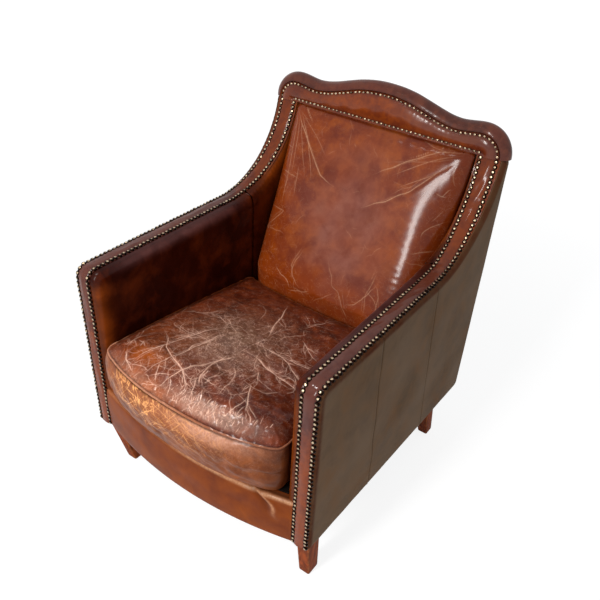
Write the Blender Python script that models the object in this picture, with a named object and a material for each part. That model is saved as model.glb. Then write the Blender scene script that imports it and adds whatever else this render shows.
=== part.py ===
"""Worn leather club chair: nailed arm bands that sweep up to a camelback crest.

Metres, +Z up. X runs across the seat, the front faces -Y, and the origin is on the
floor under the middle of the chair. Depths (y) are measured from the plane of the
nailed arm fronts and heights (z) from a level LEVEL above the floor; the whole chair
hangs on one empty that sets it over the origin. Left and right are as seen from the
front, so left is -X.
"""
import math

import bmesh
import bpy
from mathutils import Vector

# ---------------------------------------------------------------- driving dimensions
GAP = 0.0003              # clearance between pieces that touch
LEVEL = 0.006             # height of the measuring level above the floor

ARM_TOP = 0.6165          # height of the nailed band on top of the arm
ARM_LENGTH = 0.460        # arm front to the start of the sweep
SWEEP_R = 0.261           # radius of the sweep from arm to back
CORNER_R = 0.026          # radius over the arm's front corner
COVER_HEM = 0.165         # lower edge of the leather covers at the front
FRAME_BOTTOM = 0.170      # underside of the rails and posts at the front
HEM_FALL = 0.060          # how far both edges fall to the rear, per metre of depth
SEAM_Z = 0.826            # arm band ends, crest panel begins

BAND_THICK = 0.006        # leather band with its padding
FRAME_INSET = 0.0068      # nailed face to the wood behind it
INNER_ROW_X = 0.286       # nail rows on the arm, from the centre plane
OUTER_ROW_X = 0.318
INNER_ROW_EAR_X = 0.272   # the same rows where they reach the crest
OUTER_ROW_EAR_X = 0.3115
WING_SEAM = 0.5203        # seam between inside arm and wing; the rows close in behind it

NAIL_PITCH = 0.012
NAIL_RISE = 0.003
NAIL_HALF = 0.005         # half the width of a nail's cell across the row

FRAME_IN = 0.281          # inner and outer sides of posts and arm rails
FRAME_OUT = 0.3215
RAIL_THICK = 0.025
REAR_FRAME = 0.7457       # rear side of posts and crest rail
POST_FRONT = 0.7015       # front side of the back posts

SIDE_OUT_FRONT = 0.3262   # outer face of the outside arm at the front and at the rear
SIDE_OUT_REAR = 0.3345
REAR_FACE = 0.7497        # rear edge of the side covers
REAR_CROWN = 0.0015       # how far the outside back stands proud of it

FRONT_BOW = 0.0376        # bow of the front rail and its cover
SEAT_FRONT_BOW = 0.048    # bow of the cushion's front seam
RAIL_TOP = 0.262          # front and side seat rails
SEAT_REAR_TOP = 0.2327    # rear seat rail, lower, so the seat pitches back
DECK_FLAT_TO = 0.0300     # the deck is level up to here, then falls to the rear rail
DECK_FALL_TO = 0.615
WIRE_D = 0.0036
DECK_THICK = 0.0263

INSIDE_FACE = 0.2540      # inner face of the inside arm and wing
PANEL_HALF = 0.2535       # half width of the tight inside back
PANEL_TOP = 0.8255
PANEL_FOOT = 0.272
PANEL_RAKE = 0.24         # fall of the panel's back plane per metre of height
PANEL_BACK_Y = 0.7128     # depth of that plane at CREST_FOOT
PANEL_CROWN = 0.064
CREST_FOOT = 0.790        # underside of the crest rail

HUMP_BASE = 0.864         # nail row at the dips of the camelback
HUMP_RISE = 0.0375        # hump in the middle above the dips
HUMP_HALF = 0.204         # distance from the middle to a dip
EAR_RISE = 0.007          # ear above the dips
EAR_R = 0.0447            # radius of the nail row round the ear
CREST_FACE = 0.7165       # depth of the crest panel's front face at its edges
CREST_PUFF = 0.012
CREST_THICK = 0.006
ROLL_IN = NAIL_HALF + GAP
ROLL_OUT = 0.0265         # reach of the border roll beyond the nail row

CUSHION_HALF = 0.2490
CUSHION_SHIFT = -0.0032   # the loose cushion has slid a little to the left
CUSHION_FRONT_Z = 0.4385
CUSHION_REAR_Z = 0.385
CUSHION_CROWN = 0.016
CUSHION_BELLY = 0.010     # how far the boxing swells past the seams

FRONT_REACH = -SEAT_FRONT_BOW - CUSHION_BELLY
CENTRE_Y = -(FRONT_REACH + REAR_FACE + REAR_CROWN) / 2

SIDES = (("left", -1), ("right", 1))

# ---------------------------------------------------------------- finishes
FINISHES = {
    "band_leather": ((0.150, 0.040, 0.018), 0.38, 0.0),
    "side_leather": ((0.110, 0.075, 0.050), 0.45, 0.0),
    "arm_leather": ((0.060, 0.020, 0.012), 0.40, 0.0),
    "back_leather": ((0.240, 0.075, 0.035), 0.32, 0.0),
    "seat_leather": ((0.100, 0.040, 0.022), 0.38, 0.0),
    "rail_leather": ((0.210, 0.065, 0.020), 0.36, 0.0),
    "hardwood": ((0.430, 0.290, 0.160), 0.60, 0.0),
    "leg_wood": ((0.170, 0.045, 0.025), 0.35, 0.0),
    "spring_steel": ((0.350, 0.350, 0.360), 0.35, 1.0),
    "webbing": ((0.450, 0.380, 0.260), 0.85, 0.0),
    "lining": ((0.030, 0.030, 0.032), 0.90, 0.0),
}


def finish(name):
    """The material called name, made on first use."""
    material = bpy.data.materials.get(name)
    if material:
        return material
    colour, roughness, metallic = FINISHES[name]
    material = bpy.data.materials.new(name)
    material.use_nodes = True
    shader = material.node_tree.nodes["Principled BSDF"]
    shader.inputs["Base Color"].default_value = (*colour, 1.0)
    shader.inputs["Roughness"].default_value = roughness
    shader.inputs["Metallic"].default_value = metallic
    return material


# ---------------------------------------------------------------- solid builders
def solid(name, points, faces, material, chair):
    """One closed object from points and faces, hung on the chair's empty."""
    mesh = bpy.data.meshes.new(name)
    mesh.from_pydata([tuple(point) for point in points], [], faces)
    work = bmesh.new()
    work.from_mesh(mesh)
    bmesh.ops.recalc_face_normals(work, faces=work.faces)
    work.to_mesh(mesh)
    work.free()
    mesh.materials.append(finish(material))
    mesh.shade_smooth()
    mesh.set_sharp_from_angle(angle=math.radians(35))
    piece = bpy.data.objects.new(name, mesh)
    bpy.context.scene.collection.objects.link(piece)
    piece.parent = chair
    return piece


def loft(name, rings, material, chair):
    """A solid through closed rings of equal length, with flat ends."""
    count = len(rings[0])
    points = [point for ring in rings for point in ring]
    faces = [tuple(range(count))]
    for ring in range(len(rings) - 1):
        base = ring * count
        for k in range(count):
            after = (k + 1) % count
            faces.append((base + k, base + after, base + count + after, base + count + k))
    faces.append(tuple(range(len(points) - count, len(points))))
    return solid(name, points, faces, material, chair)


def box(name, low, high, material, chair):
    """A box between two corners."""
    outline = ((low[0], low[1]), (high[0], low[1]), (high[0], high[1]), (low[0], high[1]))
    rings = [[(x, y, z) for x, y in outline] for z in (low[2], high[2])]
    return loft(name, rings, material, chair)


def mirrored_box(name, side, x_range, y_range, z_range, material, chair):
    """A box on one side of the centre plane."""
    low_x, high_x = sorted((side * x_range[0], side * x_range[1]))
    return box(name, (low_x, y_range[0], z_range[0]), (high_x, y_range[1], z_range[1]), material, chair)


def plate(name, side, layers, material, chair):
    """A padded plate standing in the YZ plane: layers are (x_at, outline) from back to face."""
    rings = []
    for x_at, outline in layers:
        rings.append([(side * x_at(y), y, z) for y, z in outline])
    loft(name, rings, material, chair)


def inset(outline, distance_at):
    """The outline moved inwards at each point by distance_at(y), along the corner's bisector."""
    area = sum(a[0] * b[1] - b[0] * a[1] for a, b in zip(outline, outline[1:] + outline[:1]))
    turn = 1 if area > 0 else -1
    moved = []
    for k, here in enumerate(outline):
        before = Vector(here) - Vector(outline[k - 1])
        after = Vector(outline[(k + 1) % len(outline)]) - Vector(here)
        before.normalize()
        after.normalize()
        normal_a = Vector((-before.y, before.x)) * turn
        normal_b = Vector((-after.y, after.x)) * turn
        bisector = (normal_a + normal_b).normalized()
        reach = distance_at(here[0]) / max(0.5, bisector.dot(normal_a))
        moved.append(tuple(Vector(here) + bisector * reach))
    return moved


def constant(value):
    """A function that gives value at any depth."""
    return lambda y: value


def clamp01(value):
    """Value held between 0 and 1."""
    return max(0.0, min(1.0, value))


def mix(start, end, share):
    """Linear blend from start to end."""
    return start + (end - start) * share


# ---------------------------------------------------------------- outlines
def arc(centre, radius, start_deg, end_deg, steps):
    """Points on a circle between two angles, both ends included."""
    angles = [math.radians(mix(start_deg, end_deg, k / steps)) for k in range(steps + 1)]
    return [(centre[0] + radius * math.cos(a), centre[1] + radius * math.sin(a)) for a in angles]


def sweep_angle(radius, depth):
    """Angle in degrees on the sweep's circle at a depth, -90 at the foot of the sweep."""
    return -math.degrees(math.acos((depth - ARM_LENGTH) / radius))


def arm_outline(inset_by, foot_z, end_deg, sweep_steps):
    """Side outline of the arm from the front foot over the top and up the sweep, inset."""
    radius = max(CORNER_R - inset_by, 0.004)
    corner = (inset_by + radius, ARM_TOP - inset_by - radius)
    centre = (ARM_LENGTH, ARM_TOP + SWEEP_R)
    points = [(inset_by, foot_z)]
    points += arc(corner, radius, 180, 90, 4)
    points += arc(centre, SWEEP_R + inset_by, -90, end_deg, sweep_steps)
    return points


def sweep_height_angle(radius, height):
    """Angle in degrees on the sweep's circle at a height."""
    return math.degrees(math.asin((height - ARM_TOP - SWEEP_R) / radius))


def front_y(x):
    """Depth of the bowed front cover at a distance across the chair."""
    return -FRONT_BOW * (1 - (x / FRAME_IN) ** 2)


def fallen(height, y):
    """A height at the front, lowered to the rear as the underside of the frame is."""
    return height - HEM_FALL * max(0.0, y)


def deck_drop(y):
    """How far the seat has fallen below its front level at a depth."""
    share = clamp01((y - DECK_FLAT_TO) / (DECK_FALL_TO - DECK_FLAT_TO))
    return (RAIL_TOP - SEAT_REAR_TOP) * share


def panel_back(z):
    """Depth of the inside back's rear plane at a height."""
    return PANEL_BACK_Y + PANEL_RAKE * (z - CREST_FOOT)


def crest_row():
    """Centre line (x, z) of the crest's outer nail row, from the right seam to the left one."""
    top = HUMP_BASE + EAR_RISE
    ear_x = OUTER_ROW_EAR_X - EAR_R
    right = arc((ear_x, top - EAR_R), EAR_R, 0, 90, 12)
    right[0] = (OUTER_ROW_EAR_X, SEAM_Z + GAP)
    steps = 40
    for k in range(1, steps + 1):
        x = ear_x * (1 - k / steps)
        hump = math.cos(math.pi / 2 * clamp01(x / HUMP_HALF) ** 1.15) ** 2
        ear = clamp01((x - HUMP_HALF) / (ear_x - HUMP_HALF))
        z = HUMP_BASE + HUMP_RISE * hump + EAR_RISE * ear * ear * (3 - 2 * ear)
        right.append((x, z))
    left = [(-x, z) for x, z in reversed(right[:-1])]
    return right + left


def resample(line, count):
    """The line cut into count equal lengths."""
    lengths = [0.0]
    for a, b in zip(line, line[1:]):
        lengths.append(lengths[-1] + math.dist(a, b))
    points = []
    segment = 0
    for k in range(count + 1):
        target = lengths[-1] * k / count
        while segment < len(line) - 2 and lengths[segment + 1] < target:
            segment += 1
        share = (target - lengths[segment]) / (lengths[segment + 1] - lengths[segment])
        a, b = line[segment], line[segment + 1]
        points.append((mix(a[0], b[0], share), mix(a[1], b[1], share)))
    return points


def crest_stations():
    """The crest row cut at the nail pitch, shared by the pieces that meet along it."""
    line = crest_row()
    length = sum(math.dist(a, b) for a, b in zip(line, line[1:]))
    return resample(line, round(length / NAIL_PITCH))


def offset_row(line, distance):
    """The crest row moved outwards; its two ends stay on the level seam."""
    moved = []
    for k, here in enumerate(line):
        before = line[max(0, k - 1)]
        after = line[min(len(line) - 1, k + 1)]
        tangent = Vector((after[0] - before[0], after[1] - before[1])).normalized()
        normal = Vector((tangent.y, -tangent.x))
        if k in (0, len(line) - 1):
            normal = Vector((1.0 if here[0] > 0 else -1.0, 0.0))
        moved.append(tuple(Vector(here) + normal * distance))
    return moved


# ---------------------------------------------------------------- hardwood frame
def arm_frame(word, side, chair):
    """Front post, arm rail, sweep rail and back post of one side."""
    x_range = (FRAME_IN, FRAME_OUT)
    rail_foot = 0.5797
    post_rear = 0.051
    standing_rail(f"{word}_arm_post", side, x_range, (FRAME_INSET, post_rear),
                  rail_foot - GAP, chair)

    corner = (CORNER_R, ARM_TOP - CORNER_R)
    rail = [(FRAME_INSET, rail_foot)]
    rail += arc(corner, CORNER_R - FRAME_INSET, 180, 90, 4)
    rail += [(ARM_LENGTH - GAP, ARM_TOP - FRAME_INSET), (ARM_LENGTH - GAP, rail_foot)]
    rings = [[(side * x, y, z) for y, z in rail] for x in x_range]
    loft(f"{word}_arm_rail", rings, "hardwood", chair)

    sweep_rail(word, side, chair)

    face_r = SWEEP_R + FRAME_INSET
    centre = (ARM_LENGTH, ARM_TOP + SWEEP_R)
    eased = REAR_FRAME - 0.009
    post = [(POST_FRONT, fallen(FRAME_BOTTOM, POST_FRONT)), (eased, fallen(FRAME_BOTTOM, eased)),
            (REAR_FRAME, fallen(FRAME_BOTTOM, REAR_FRAME) + 0.013), (REAR_FRAME, CREST_FOOT - GAP)]
    post += arc(centre, face_r, sweep_height_angle(face_r, CREST_FOOT - GAP),
                sweep_angle(face_r, POST_FRONT), 2)
    rings = [[(side * x, y, z) for y, z in post] for x in x_range]
    loft(f"{word}_back_post", rings, "hardwood", chair)


def standing_rail(name, side, x_range, along, top_z, chair):
    """A rail or post level on top, its underside following the fall of the frame."""
    near, far = along
    outline = [(near, fallen(FRAME_BOTTOM, near)), (far, fallen(FRAME_BOTTOM, far)),
               (far, top_z), (near, top_z)]
    rings = [[(side * x, y, z) for y, z in outline] for x in x_range]
    return loft(name, rings, "hardwood", chair)


def sweep_rail(word, side, chair):
    """Curved rail, sawn from a board, between the arm rail and the back post."""
    board = 0.040
    steps = 14
    centre = (ARM_LENGTH, ARM_TOP + SWEEP_R)
    radii = (SWEEP_R + FRAME_INSET, SWEEP_R + FRAME_INSET + board)
    edges = [arc(centre, r, -90, sweep_angle(r, POST_FRONT - GAP), steps) for r in radii]
    rings = []
    for (y_in, z_in), (y_out, z_out) in zip(*edges):
        rings.append([(side * FRAME_IN, y_in, z_in), (side * FRAME_OUT, y_in, z_in),
                      (side * FRAME_OUT, y_out, z_out), (side * FRAME_IN, y_out, z_out)])
    loft(f"{word}_sweep_rail", rings, "hardwood", chair)


def seat_frame(chair):
    """Bowed front rail, side rails, tacking rails, rear rails and corner blocks."""
    rail_front, rail_rear = 0.0083, 0.0083 + RAIL_THICK
    end = FRAME_IN - GAP
    rings = []
    for k in range(17):
        x = mix(-end, end, k / 16)
        front, rear = front_y(x) + rail_front, front_y(x) + rail_rear
        rings.append([(x, front, fallen(FRAME_BOTTOM, front)), (x, rear, fallen(FRAME_BOTTOM, rear)),
                      (x, rear, RAIL_TOP), (x, front, RAIL_TOP)])
    loft("front_rail", rings, "hardwood", chair)

    rail_in = FRAME_OUT - RAIL_THICK
    along = (0.051 + GAP, POST_FRONT - GAP)
    for word, side in SIDES:
        standing_rail(f"{word}_side_rail", side, (rail_in, FRAME_OUT), along, RAIL_TOP, chair)
        mirrored_box(f"{word}_tack_rail", side, (rail_in, FRAME_OUT), along,
                     (0.300, 0.330), "hardwood", chair)
        front_block(word, side, rail_in, rail_rear, chair)
        rear_block(word, side, rail_in, chair)

    reach = (-rail_in + GAP, rail_in - GAP)
    standing_rail("rear_seat_rail", 1, reach, (0.590, 0.590 + RAIL_THICK), SEAT_REAR_TOP, chair)
    standing_rail("rear_bottom_rail", 1, (-end, end), (REAR_FRAME - RAIL_THICK, REAR_FRAME),
                  0.180, chair)


def front_block(word, side, rail_in, rail_rear, chair):
    """Glued corner block behind the front rail."""
    near, far = FRAME_IN - 2 * GAP, 0.190
    slack = 0.0005
    post_rear = 0.051
    outline = [(far, front_y(far) + rail_rear + slack), (near, front_y(near) + rail_rear + slack),
               (near, post_rear + GAP), (rail_in - GAP, post_rear + GAP), (rail_in - GAP, 0.120)]
    rings = [[(side * x, y, z) for x, y in outline] for z in (0.185, 0.225)]
    loft(f"{word}_front_block", rings, "hardwood", chair)


def rear_block(word, side, rail_in, chair):
    """Glued corner block in front of the rear seat rail."""
    outline = [(rail_in - GAP, 0.520), (rail_in - GAP, 0.590 - GAP), (0.215, 0.590 - GAP)]
    rings = [[(side * x, y, z) for x, y in outline] for z in (0.185, 0.225)]
    loft(f"{word}_rear_block", rings, "hardwood", chair)


def crest_rail(chair):
    """Camelback top rail; its front face leans with the sweep below the seam."""
    end = OUTER_ROW_EAR_X + 0.0032
    reach = offset_row(crest_row(), 0.0040)
    lean_foot, lean_top, face = 0.7133, 0.7233, 0.7235
    rings = []
    steps = 52
    for k in range(steps + 1):
        x = mix(-end, end, k / steps)
        top = row_height(reach, abs(x))
        rings.append([(x, lean_foot, CREST_FOOT), (x, lean_top, SEAM_Z), (x, face, top),
                      (x, REAR_FRAME, top), (x, REAR_FRAME, CREST_FOOT)])
    loft("crest_rail", rings, "hardwood", chair)


def row_height(row, x):
    """Height of a line over the crest at x, or just above the seam beyond its end."""
    lowest = SEAM_Z + 0.008
    for a, b in zip(row, row[1:]):
        if b[0] <= x <= a[0] and a[0] > b[0]:
            share = (a[0] - x) / (a[0] - b[0])
            return max(lowest, mix(a[1], b[1], share))
    return lowest


def inner_back_frame(chair):
    """Raked uprights that carry the inside back, their cross rail and the straps."""
    strap = 0.002
    thick = 0.022
    foot = SEAT_REAR_TOP + GAP
    top = CREST_FOOT - GAP
    inner, outer = 0.2225, PANEL_HALF - 0.001

    def raked(x_low, x_high, z_low, z_high, shift, depth):
        rings = []
        for z in (z_low, z_high):
            y = panel_back(z) + shift
            rings.append([(x_low, y, z), (x_high, y, z), (x_high, y + depth, z), (x_low, y + depth, z)])
        return rings

    for word, side in SIDES:
        low_x, high_x = sorted((side * inner, side * outer))
        rings = raked(low_x, high_x, foot, top, strap + 2 * GAP, thick)
        loft(f"{word}_back_upright", rings, "hardwood", chair)
    rings = raked(-inner + GAP, inner - GAP, 0.300, 0.340, strap + 2 * GAP, thick)
    loft("back_tie_rail", rings, "hardwood", chair)
    for number, z in enumerate((0.380, 0.480, 0.580, 0.680), start=1):
        rings = raked(-outer, outer, z - 0.025, z + 0.025, GAP, strap)
        loft(f"back_strap_{number}", rings, "webbing", chair)


def legs(chair):
    """Tapered square legs; the front pair rakes back and in, the rear pair back."""
    for word, side in SIDES:
        leg(f"{word}_front_leg", side, (0.284, 0.318, 0.013, 0.058),
            (0.274, 0.3035, 0.0505, 0.088), chair)
        leg(f"{word}_rear_leg", side, (0.2835, 0.3215, 0.578, 0.622),
            (0.287, 0.316, 0.631, 0.664), chair)


def leg(name, side, top, foot, chair):
    """One leg between two rectangles (x low, x high, y low, y high), its foot eased."""
    top_z = FRAME_BOTTOM - GAP
    full = fallen(top_z, top[2]) + LEVEL
    levels = ((0.0, 0.0035), (0.0022, 0.0010), (0.006, 0.0), (full, 0.0))
    chamfer = 0.0035
    rings = []
    for height, draw in levels:
        share = height / full
        x_low, x_high, y_low, y_high = (mix(a, b, share) for a, b in zip(foot, top))
        x_low, x_high, y_low, y_high = x_low + draw, x_high - draw, y_low + draw, y_high - draw
        outline = [(x_low + chamfer, y_low), (x_high - chamfer, y_low), (x_high, y_low + chamfer),
                   (x_high, y_high - chamfer), (x_high - chamfer, y_high), (x_low + chamfer, y_high),
                   (x_low, y_high - chamfer), (x_low, y_low + chamfer)]
        rings.append([(side * x, y, fallen(top_z, y) if height == full else height - LEVEL)
                      for x, y in outline])
    loft(name, rings, "leg_wood", chair)


# ---------------------------------------------------------------- seat
def seat_springs(chair):
    """Four zigzag wires from the front rail to the rear seat rail."""
    swing = 0.021
    wave = 0.056
    rear = 0.611
    for number, x_mid in enumerate((-0.186, -0.062, 0.062, 0.186), start=1):
        start = front_y(abs(x_mid) + swing + WIRE_D) + 0.0205 + WIRE_D / 2
        route = []
        y, side = start, 1
        while y < rear - wave / 2:
            route += [(x_mid + side * swing, y), (x_mid + side * swing, y + wave * 0.42)]
            y += wave / 2
            side = -side
        route += [(x_mid + side * swing, y), (x_mid + side * swing, rear)]
        wire(f"seat_spring_{number}", route, chair)


def wire(name, route, chair):
    """A square-sectioned stand-in for round wire, mitred along a route in plan."""
    half = WIRE_D / 2
    rings = []
    for k, here in enumerate(route):
        before = Vector(here) - Vector(route[max(0, k - 1)])
        after = Vector(route[min(len(route) - 1, k + 1)]) - Vector(here)
        ways = [way.normalized() for way in (before, after) if way.length > 0]
        tangent = sum(ways, Vector((0.0, 0.0))).normalized()
        normal = Vector((-tangent.y, tangent.x))
        reach = half / max(0.5, normal.dot(Vector((-ways[0].y, ways[0].x))))
        low = RAIL_TOP + GAP - deck_drop(here[1])
        left = Vector(here) + normal * reach
        right = Vector(here) - normal * reach
        rings.append([(left.x, left.y, low), (right.x, right.y, low),
                      (right.x, right.y, low + WIRE_D), (left.x, left.y, low + WIRE_D)])
    loft(name, rings, "spring_steel", chair)


def seat_deck(chair):
    """Padded platform over the springs, notched round the back uprights."""
    half = FRAME_IN - 0.001
    notch = 0.2215
    stations = [-half, -0.25, -notch - 0.0005, -notch]
    stations += [mix(-0.18, 0.18, k / 8) for k in range(9)]
    stations += [notch, notch + 0.0005, 0.25, half]
    rings = []
    for x in stations:
        front = front_y(x) + 0.0203
        ends = [0.570, 0.612] if abs(x) <= notch else [0.560, 0.5785]
        depths = [front, max(front + 0.001, DECK_FLAT_TO), 0.20, 0.40] + ends
        foot = [(x, y, RAIL_TOP + WIRE_D + 2 * GAP - deck_drop(y)) for y in depths]
        top = [(x, y, z + DECK_THICK) for x, y, z in reversed(foot)]
        rings.append(foot + top)
    loft("seat_deck", rings, "webbing", chair)


def deck_top(y):
    """Height of the deck's upper face at a depth."""
    return RAIL_TOP + WIRE_D + 2 * GAP + DECK_THICK - deck_drop(y)


def front_panel(chair):
    """Bowed leather cover of the front rail with its padded top edge."""
    end = FRAME_IN - GAP
    skin = 0.008
    lip = 0.020
    top = deck_top(0.0)
    under = RAIL_TOP + GAP
    rings = []
    for k in range(21):
        x = mix(-end, end, k / 20)
        y = front_y(x)
        section = [(y, COVER_HEM), (y, top - 0.0115), (y + 0.003, top - 0.0035), (y + 0.010, top),
                   (y + lip, top), (y + lip, under), (y + skin, under), (y + skin, COVER_HEM)]
        rings.append([(x, depth, z) for depth, z in section])
    loft("front_panel", rings, "rail_leather", chair)


def cushion_top(x, y):
    """Height of the cushion's upper side, lower towards the rear and crowned across."""
    fall = clamp01(y / 0.48) ** 1.3
    middle = 1 - clamp01(abs(x) / CUSHION_HALF) ** 2
    crown = CUSHION_CROWN * middle * math.sin(math.pi * clamp01((y + 0.05) / 0.55))
    return mix(CUSHION_FRONT_Z, CUSHION_REAR_Z, fall) + crown


def cushion_plan(swell):
    """Outline of the cushion in plan, its front and front corners pushed out by swell."""
    half, rear, corner = CUSHION_HALF, 0.505, 0.018
    front = []
    for k in range(15):
        x = mix(-0.224, 0.224, k / 14)
        bow = 1 - (abs(x) / 0.258) ** 2.5
        front.append((x, -SEAT_FRONT_BOW * bow - swell * (0.6 + 0.4 * bow)))
    side = [(half - 0.0105 + 0.5 * swell, -0.006 - 0.6 * swell), (half - 0.003 + 0.9 * swell, 0.004 - 0.2 * swell),
            (half + 0.6 * swell, 0.018)]
    side += [(half, y) for y in (0.042, 0.12, 0.21, 0.30, 0.39)]
    side += arc((half - corner, rear - corner), corner, 0, 70, 3)
    back = []
    for k in range(1, 8):
        x = mix(half - corner, corner - half, k / 8)
        back.append((x, rear - 0.025 * (1 - (x / half) ** 2)))
    return front + side + back + [(-x, y) for x, y in reversed(side)]


def seat_cushion(chair):
    """Loose crowned cushion with a bowed front, thinner at the rear where it has sunk."""
    middle_y = 0.23

    def ring(swell, scale, height_at):
        points = []
        for x, y in cushion_plan(swell):
            x, y = x * scale, mix(middle_y, y, scale)
            points.append((x + CUSHION_SHIFT, y, height_at(x, y)))
        return points

    slope = (RAIL_TOP - SEAT_REAR_TOP) / (DECK_FALL_TO - DECK_FLAT_TO)

    def boxing(share):
        return lambda x, y: mix(deck_top(0.0) + GAP - slope * (y - DECK_FLAT_TO), cushion_top(x, y), share)

    rings = [ring(0.0, 0.955, boxing(0.0)), ring(0.0, 0.985, boxing(0.04)),
             ring(0.45 * CUSHION_BELLY, 1.0, boxing(0.16)), ring(CUSHION_BELLY, 1.0, boxing(0.50)),
             ring(0.55 * CUSHION_BELLY, 1.0, boxing(0.80)), ring(0.0, 1.0, boxing(0.93)),
             ring(0.0, 0.975, boxing(1.0))]
    rings += [ring(0.0, scale, boxing(1.0)) for scale in (0.86, 0.68, 0.46, 0.22, 0.04)]
    loft("seat_cushion", rings, "seat_leather", chair)


# ---------------------------------------------------------------- nailed bands
def band_station(distance):
    """Point (y, z) and outward normal on the nailed face, at a distance from its foot."""
    rise = ARM_TOP - CORNER_R - COVER_HEM
    bend = CORNER_R * math.pi / 2
    top = ARM_LENGTH - CORNER_R
    if distance < rise:
        return Vector((0.0, COVER_HEM + distance)), Vector((-1.0, 0.0))
    distance -= rise
    if distance < bend:
        angle = math.pi - distance / CORNER_R
        normal = Vector((math.cos(angle), math.sin(angle)))
        return Vector((CORNER_R, ARM_TOP - CORNER_R)) + normal * CORNER_R, normal
    distance -= bend
    if distance < top:
        return Vector((CORNER_R + distance, ARM_TOP)), Vector((0.0, 1.0))
    angle = (distance - top) / SWEEP_R
    normal = Vector((-math.sin(angle), math.cos(angle)))
    return Vector((ARM_LENGTH, ARM_TOP + SWEEP_R)) - normal * SWEEP_R, normal


def band_length():
    """Length of the nailed face from its foot to the seam at the ear."""
    rise = ARM_TOP - CORNER_R - COVER_HEM
    bend = CORNER_R * math.pi / 2
    turn = math.acos((ARM_TOP + SWEEP_R - SEAM_Z) / SWEEP_R)
    return rise + bend + ARM_LENGTH - CORNER_R + turn * SWEEP_R


def nail_rows_at(y):
    """Distances of the inner and outer nail rows from the centre plane at a depth."""
    ear_y = ARM_LENGTH + math.sqrt(SWEEP_R ** 2 - (ARM_TOP + SWEEP_R - SEAM_Z) ** 2)
    share = clamp01((y - WING_SEAM) / (ear_y - WING_SEAM))
    return mix(INNER_ROW_X, INNER_ROW_EAR_X, share), mix(OUTER_ROW_X, OUTER_ROW_EAR_X, share)


def arm_band(word, side, chair):
    """Leather band with its two close rows of nail heads raised from it."""
    count = round(band_length() / NAIL_PITCH)
    step = band_length() / count
    points, faces = [], []

    def add(x, spot, normal, lift):
        place = spot + normal * lift
        points.append((side * x, place.x, place.y))
        return len(points) - 1

    rings = []
    for k in range(count + 1):
        spot, normal = band_station(k * step)
        inner, outer = nail_rows_at(spot.x)
        across = (inner - NAIL_HALF, inner + NAIL_HALF, outer - NAIL_HALF, FRAME_OUT)
        ring = [add(x, spot, normal, 0.0) for x in across]
        ring += [add(across[3], spot, normal, -BAND_THICK), add(across[0], spot, normal, -BAND_THICK)]
        rings.append(ring)
    for k in range(count):
        here, after = rings[k], rings[k + 1]
        spot, normal = band_station((k + 0.5) * step)
        for column, x in zip((0, 2), nail_rows_at(spot.x)):
            corners = (here[column], here[column + 1], after[column + 1], after[column])
            tip = add(x, spot, normal, NAIL_RISE)
            faces += [(corners[m], corners[(m + 1) % 4], tip) for m in range(4)]
        for column in (1, 3, 4, 5):
            other = (column + 1) % 6
            faces.append((here[column], here[other], after[other], after[column]))
    faces += [tuple(rings[0]), tuple(rings[-1])]
    solid(f"{word}_arm_band", points, faces, "band_leather", chair)


# ---------------------------------------------------------------- crest
def crest_panel(chair):
    """Puffed leather between the straight inner nail row and the camelback outer row."""
    foot = SEAM_Z + GAP
    rear = CREST_FACE + CREST_THICK
    row = crest_stations()
    rim_in = offset_row(row, -NAIL_HALF)
    rim_out = offset_row(row, NAIL_HALF)
    ear = next(k for k, (x, _) in enumerate(rim_in) if x < INNER_ROW_EAR_X - 0.004)
    low_count = len(row) - 1 - 2 * ear
    low_x = [mix(INNER_ROW_EAR_X, -INNER_ROW_EAR_X, k / low_count) for k in range(low_count + 1)]

    points, faces = [], []

    def add(x, y, z):
        points.append((x, y, z))
        return len(points) - 1

    foot_row = [add(x, CREST_FACE, foot) for x in low_x]
    foot_top = [add(x, CREST_FACE, foot + 2 * NAIL_HALF) for x in low_x]
    inner = [add(x, CREST_FACE, z) for x, z in rim_in]
    outer = [add(x, CREST_FACE, z) for x, z in rim_out]
    for strip in ((foot_row, foot_top), (inner, outer)):
        for k in range(len(strip[0]) - 1):
            corners = (strip[0][k], strip[0][k + 1], strip[1][k + 1], strip[1][k])
            middle = sum((Vector(points[c]) for c in corners), Vector()) / 4
            tip = add(middle.x, middle.y - NAIL_RISE, middle.z)
            faces += [(corners[m], corners[(m + 1) % 4], tip) for m in range(4)]

    columns = [puffed_column(points, foot_top[k], inner[k + ear]) for k in range(low_count + 1)]
    for here, after in zip(columns, columns[1:]):
        for m in range(len(here) - 1):
            faces.append((here[m], after[m], after[m + 1], here[m + 1]))
    for column, corner, arc_points in ((columns[0], foot_row[0], inner[:ear]),
                                       (columns[-1], foot_row[-1], inner[-1:-ear - 1:-1])):
        loop = arc_points + list(reversed(column)) + [corner]
        centre = add(math.copysign(0.289, points[corner][0]), CREST_FACE - 0.0045, 0.8485)
        faces += [(loop[m], loop[(m + 1) % len(loop)], centre) for m in range(len(loop))]

    edge = [foot_row[0], inner[0], outer[0]] + outer[1:-1] + [outer[-1], inner[-1], foot_row[-1]]
    edge += list(reversed(foot_row[1:-1]))
    back = [add(points[k][0], rear, points[k][2]) for k in edge]
    for k in range(len(edge)):
        after = (k + 1) % len(edge)
        faces.append((edge[k], edge[after], back[after], back[k]))
    faces.append(tuple(back))
    solid("crest_panel", points, faces, "band_leather", chair)


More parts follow.
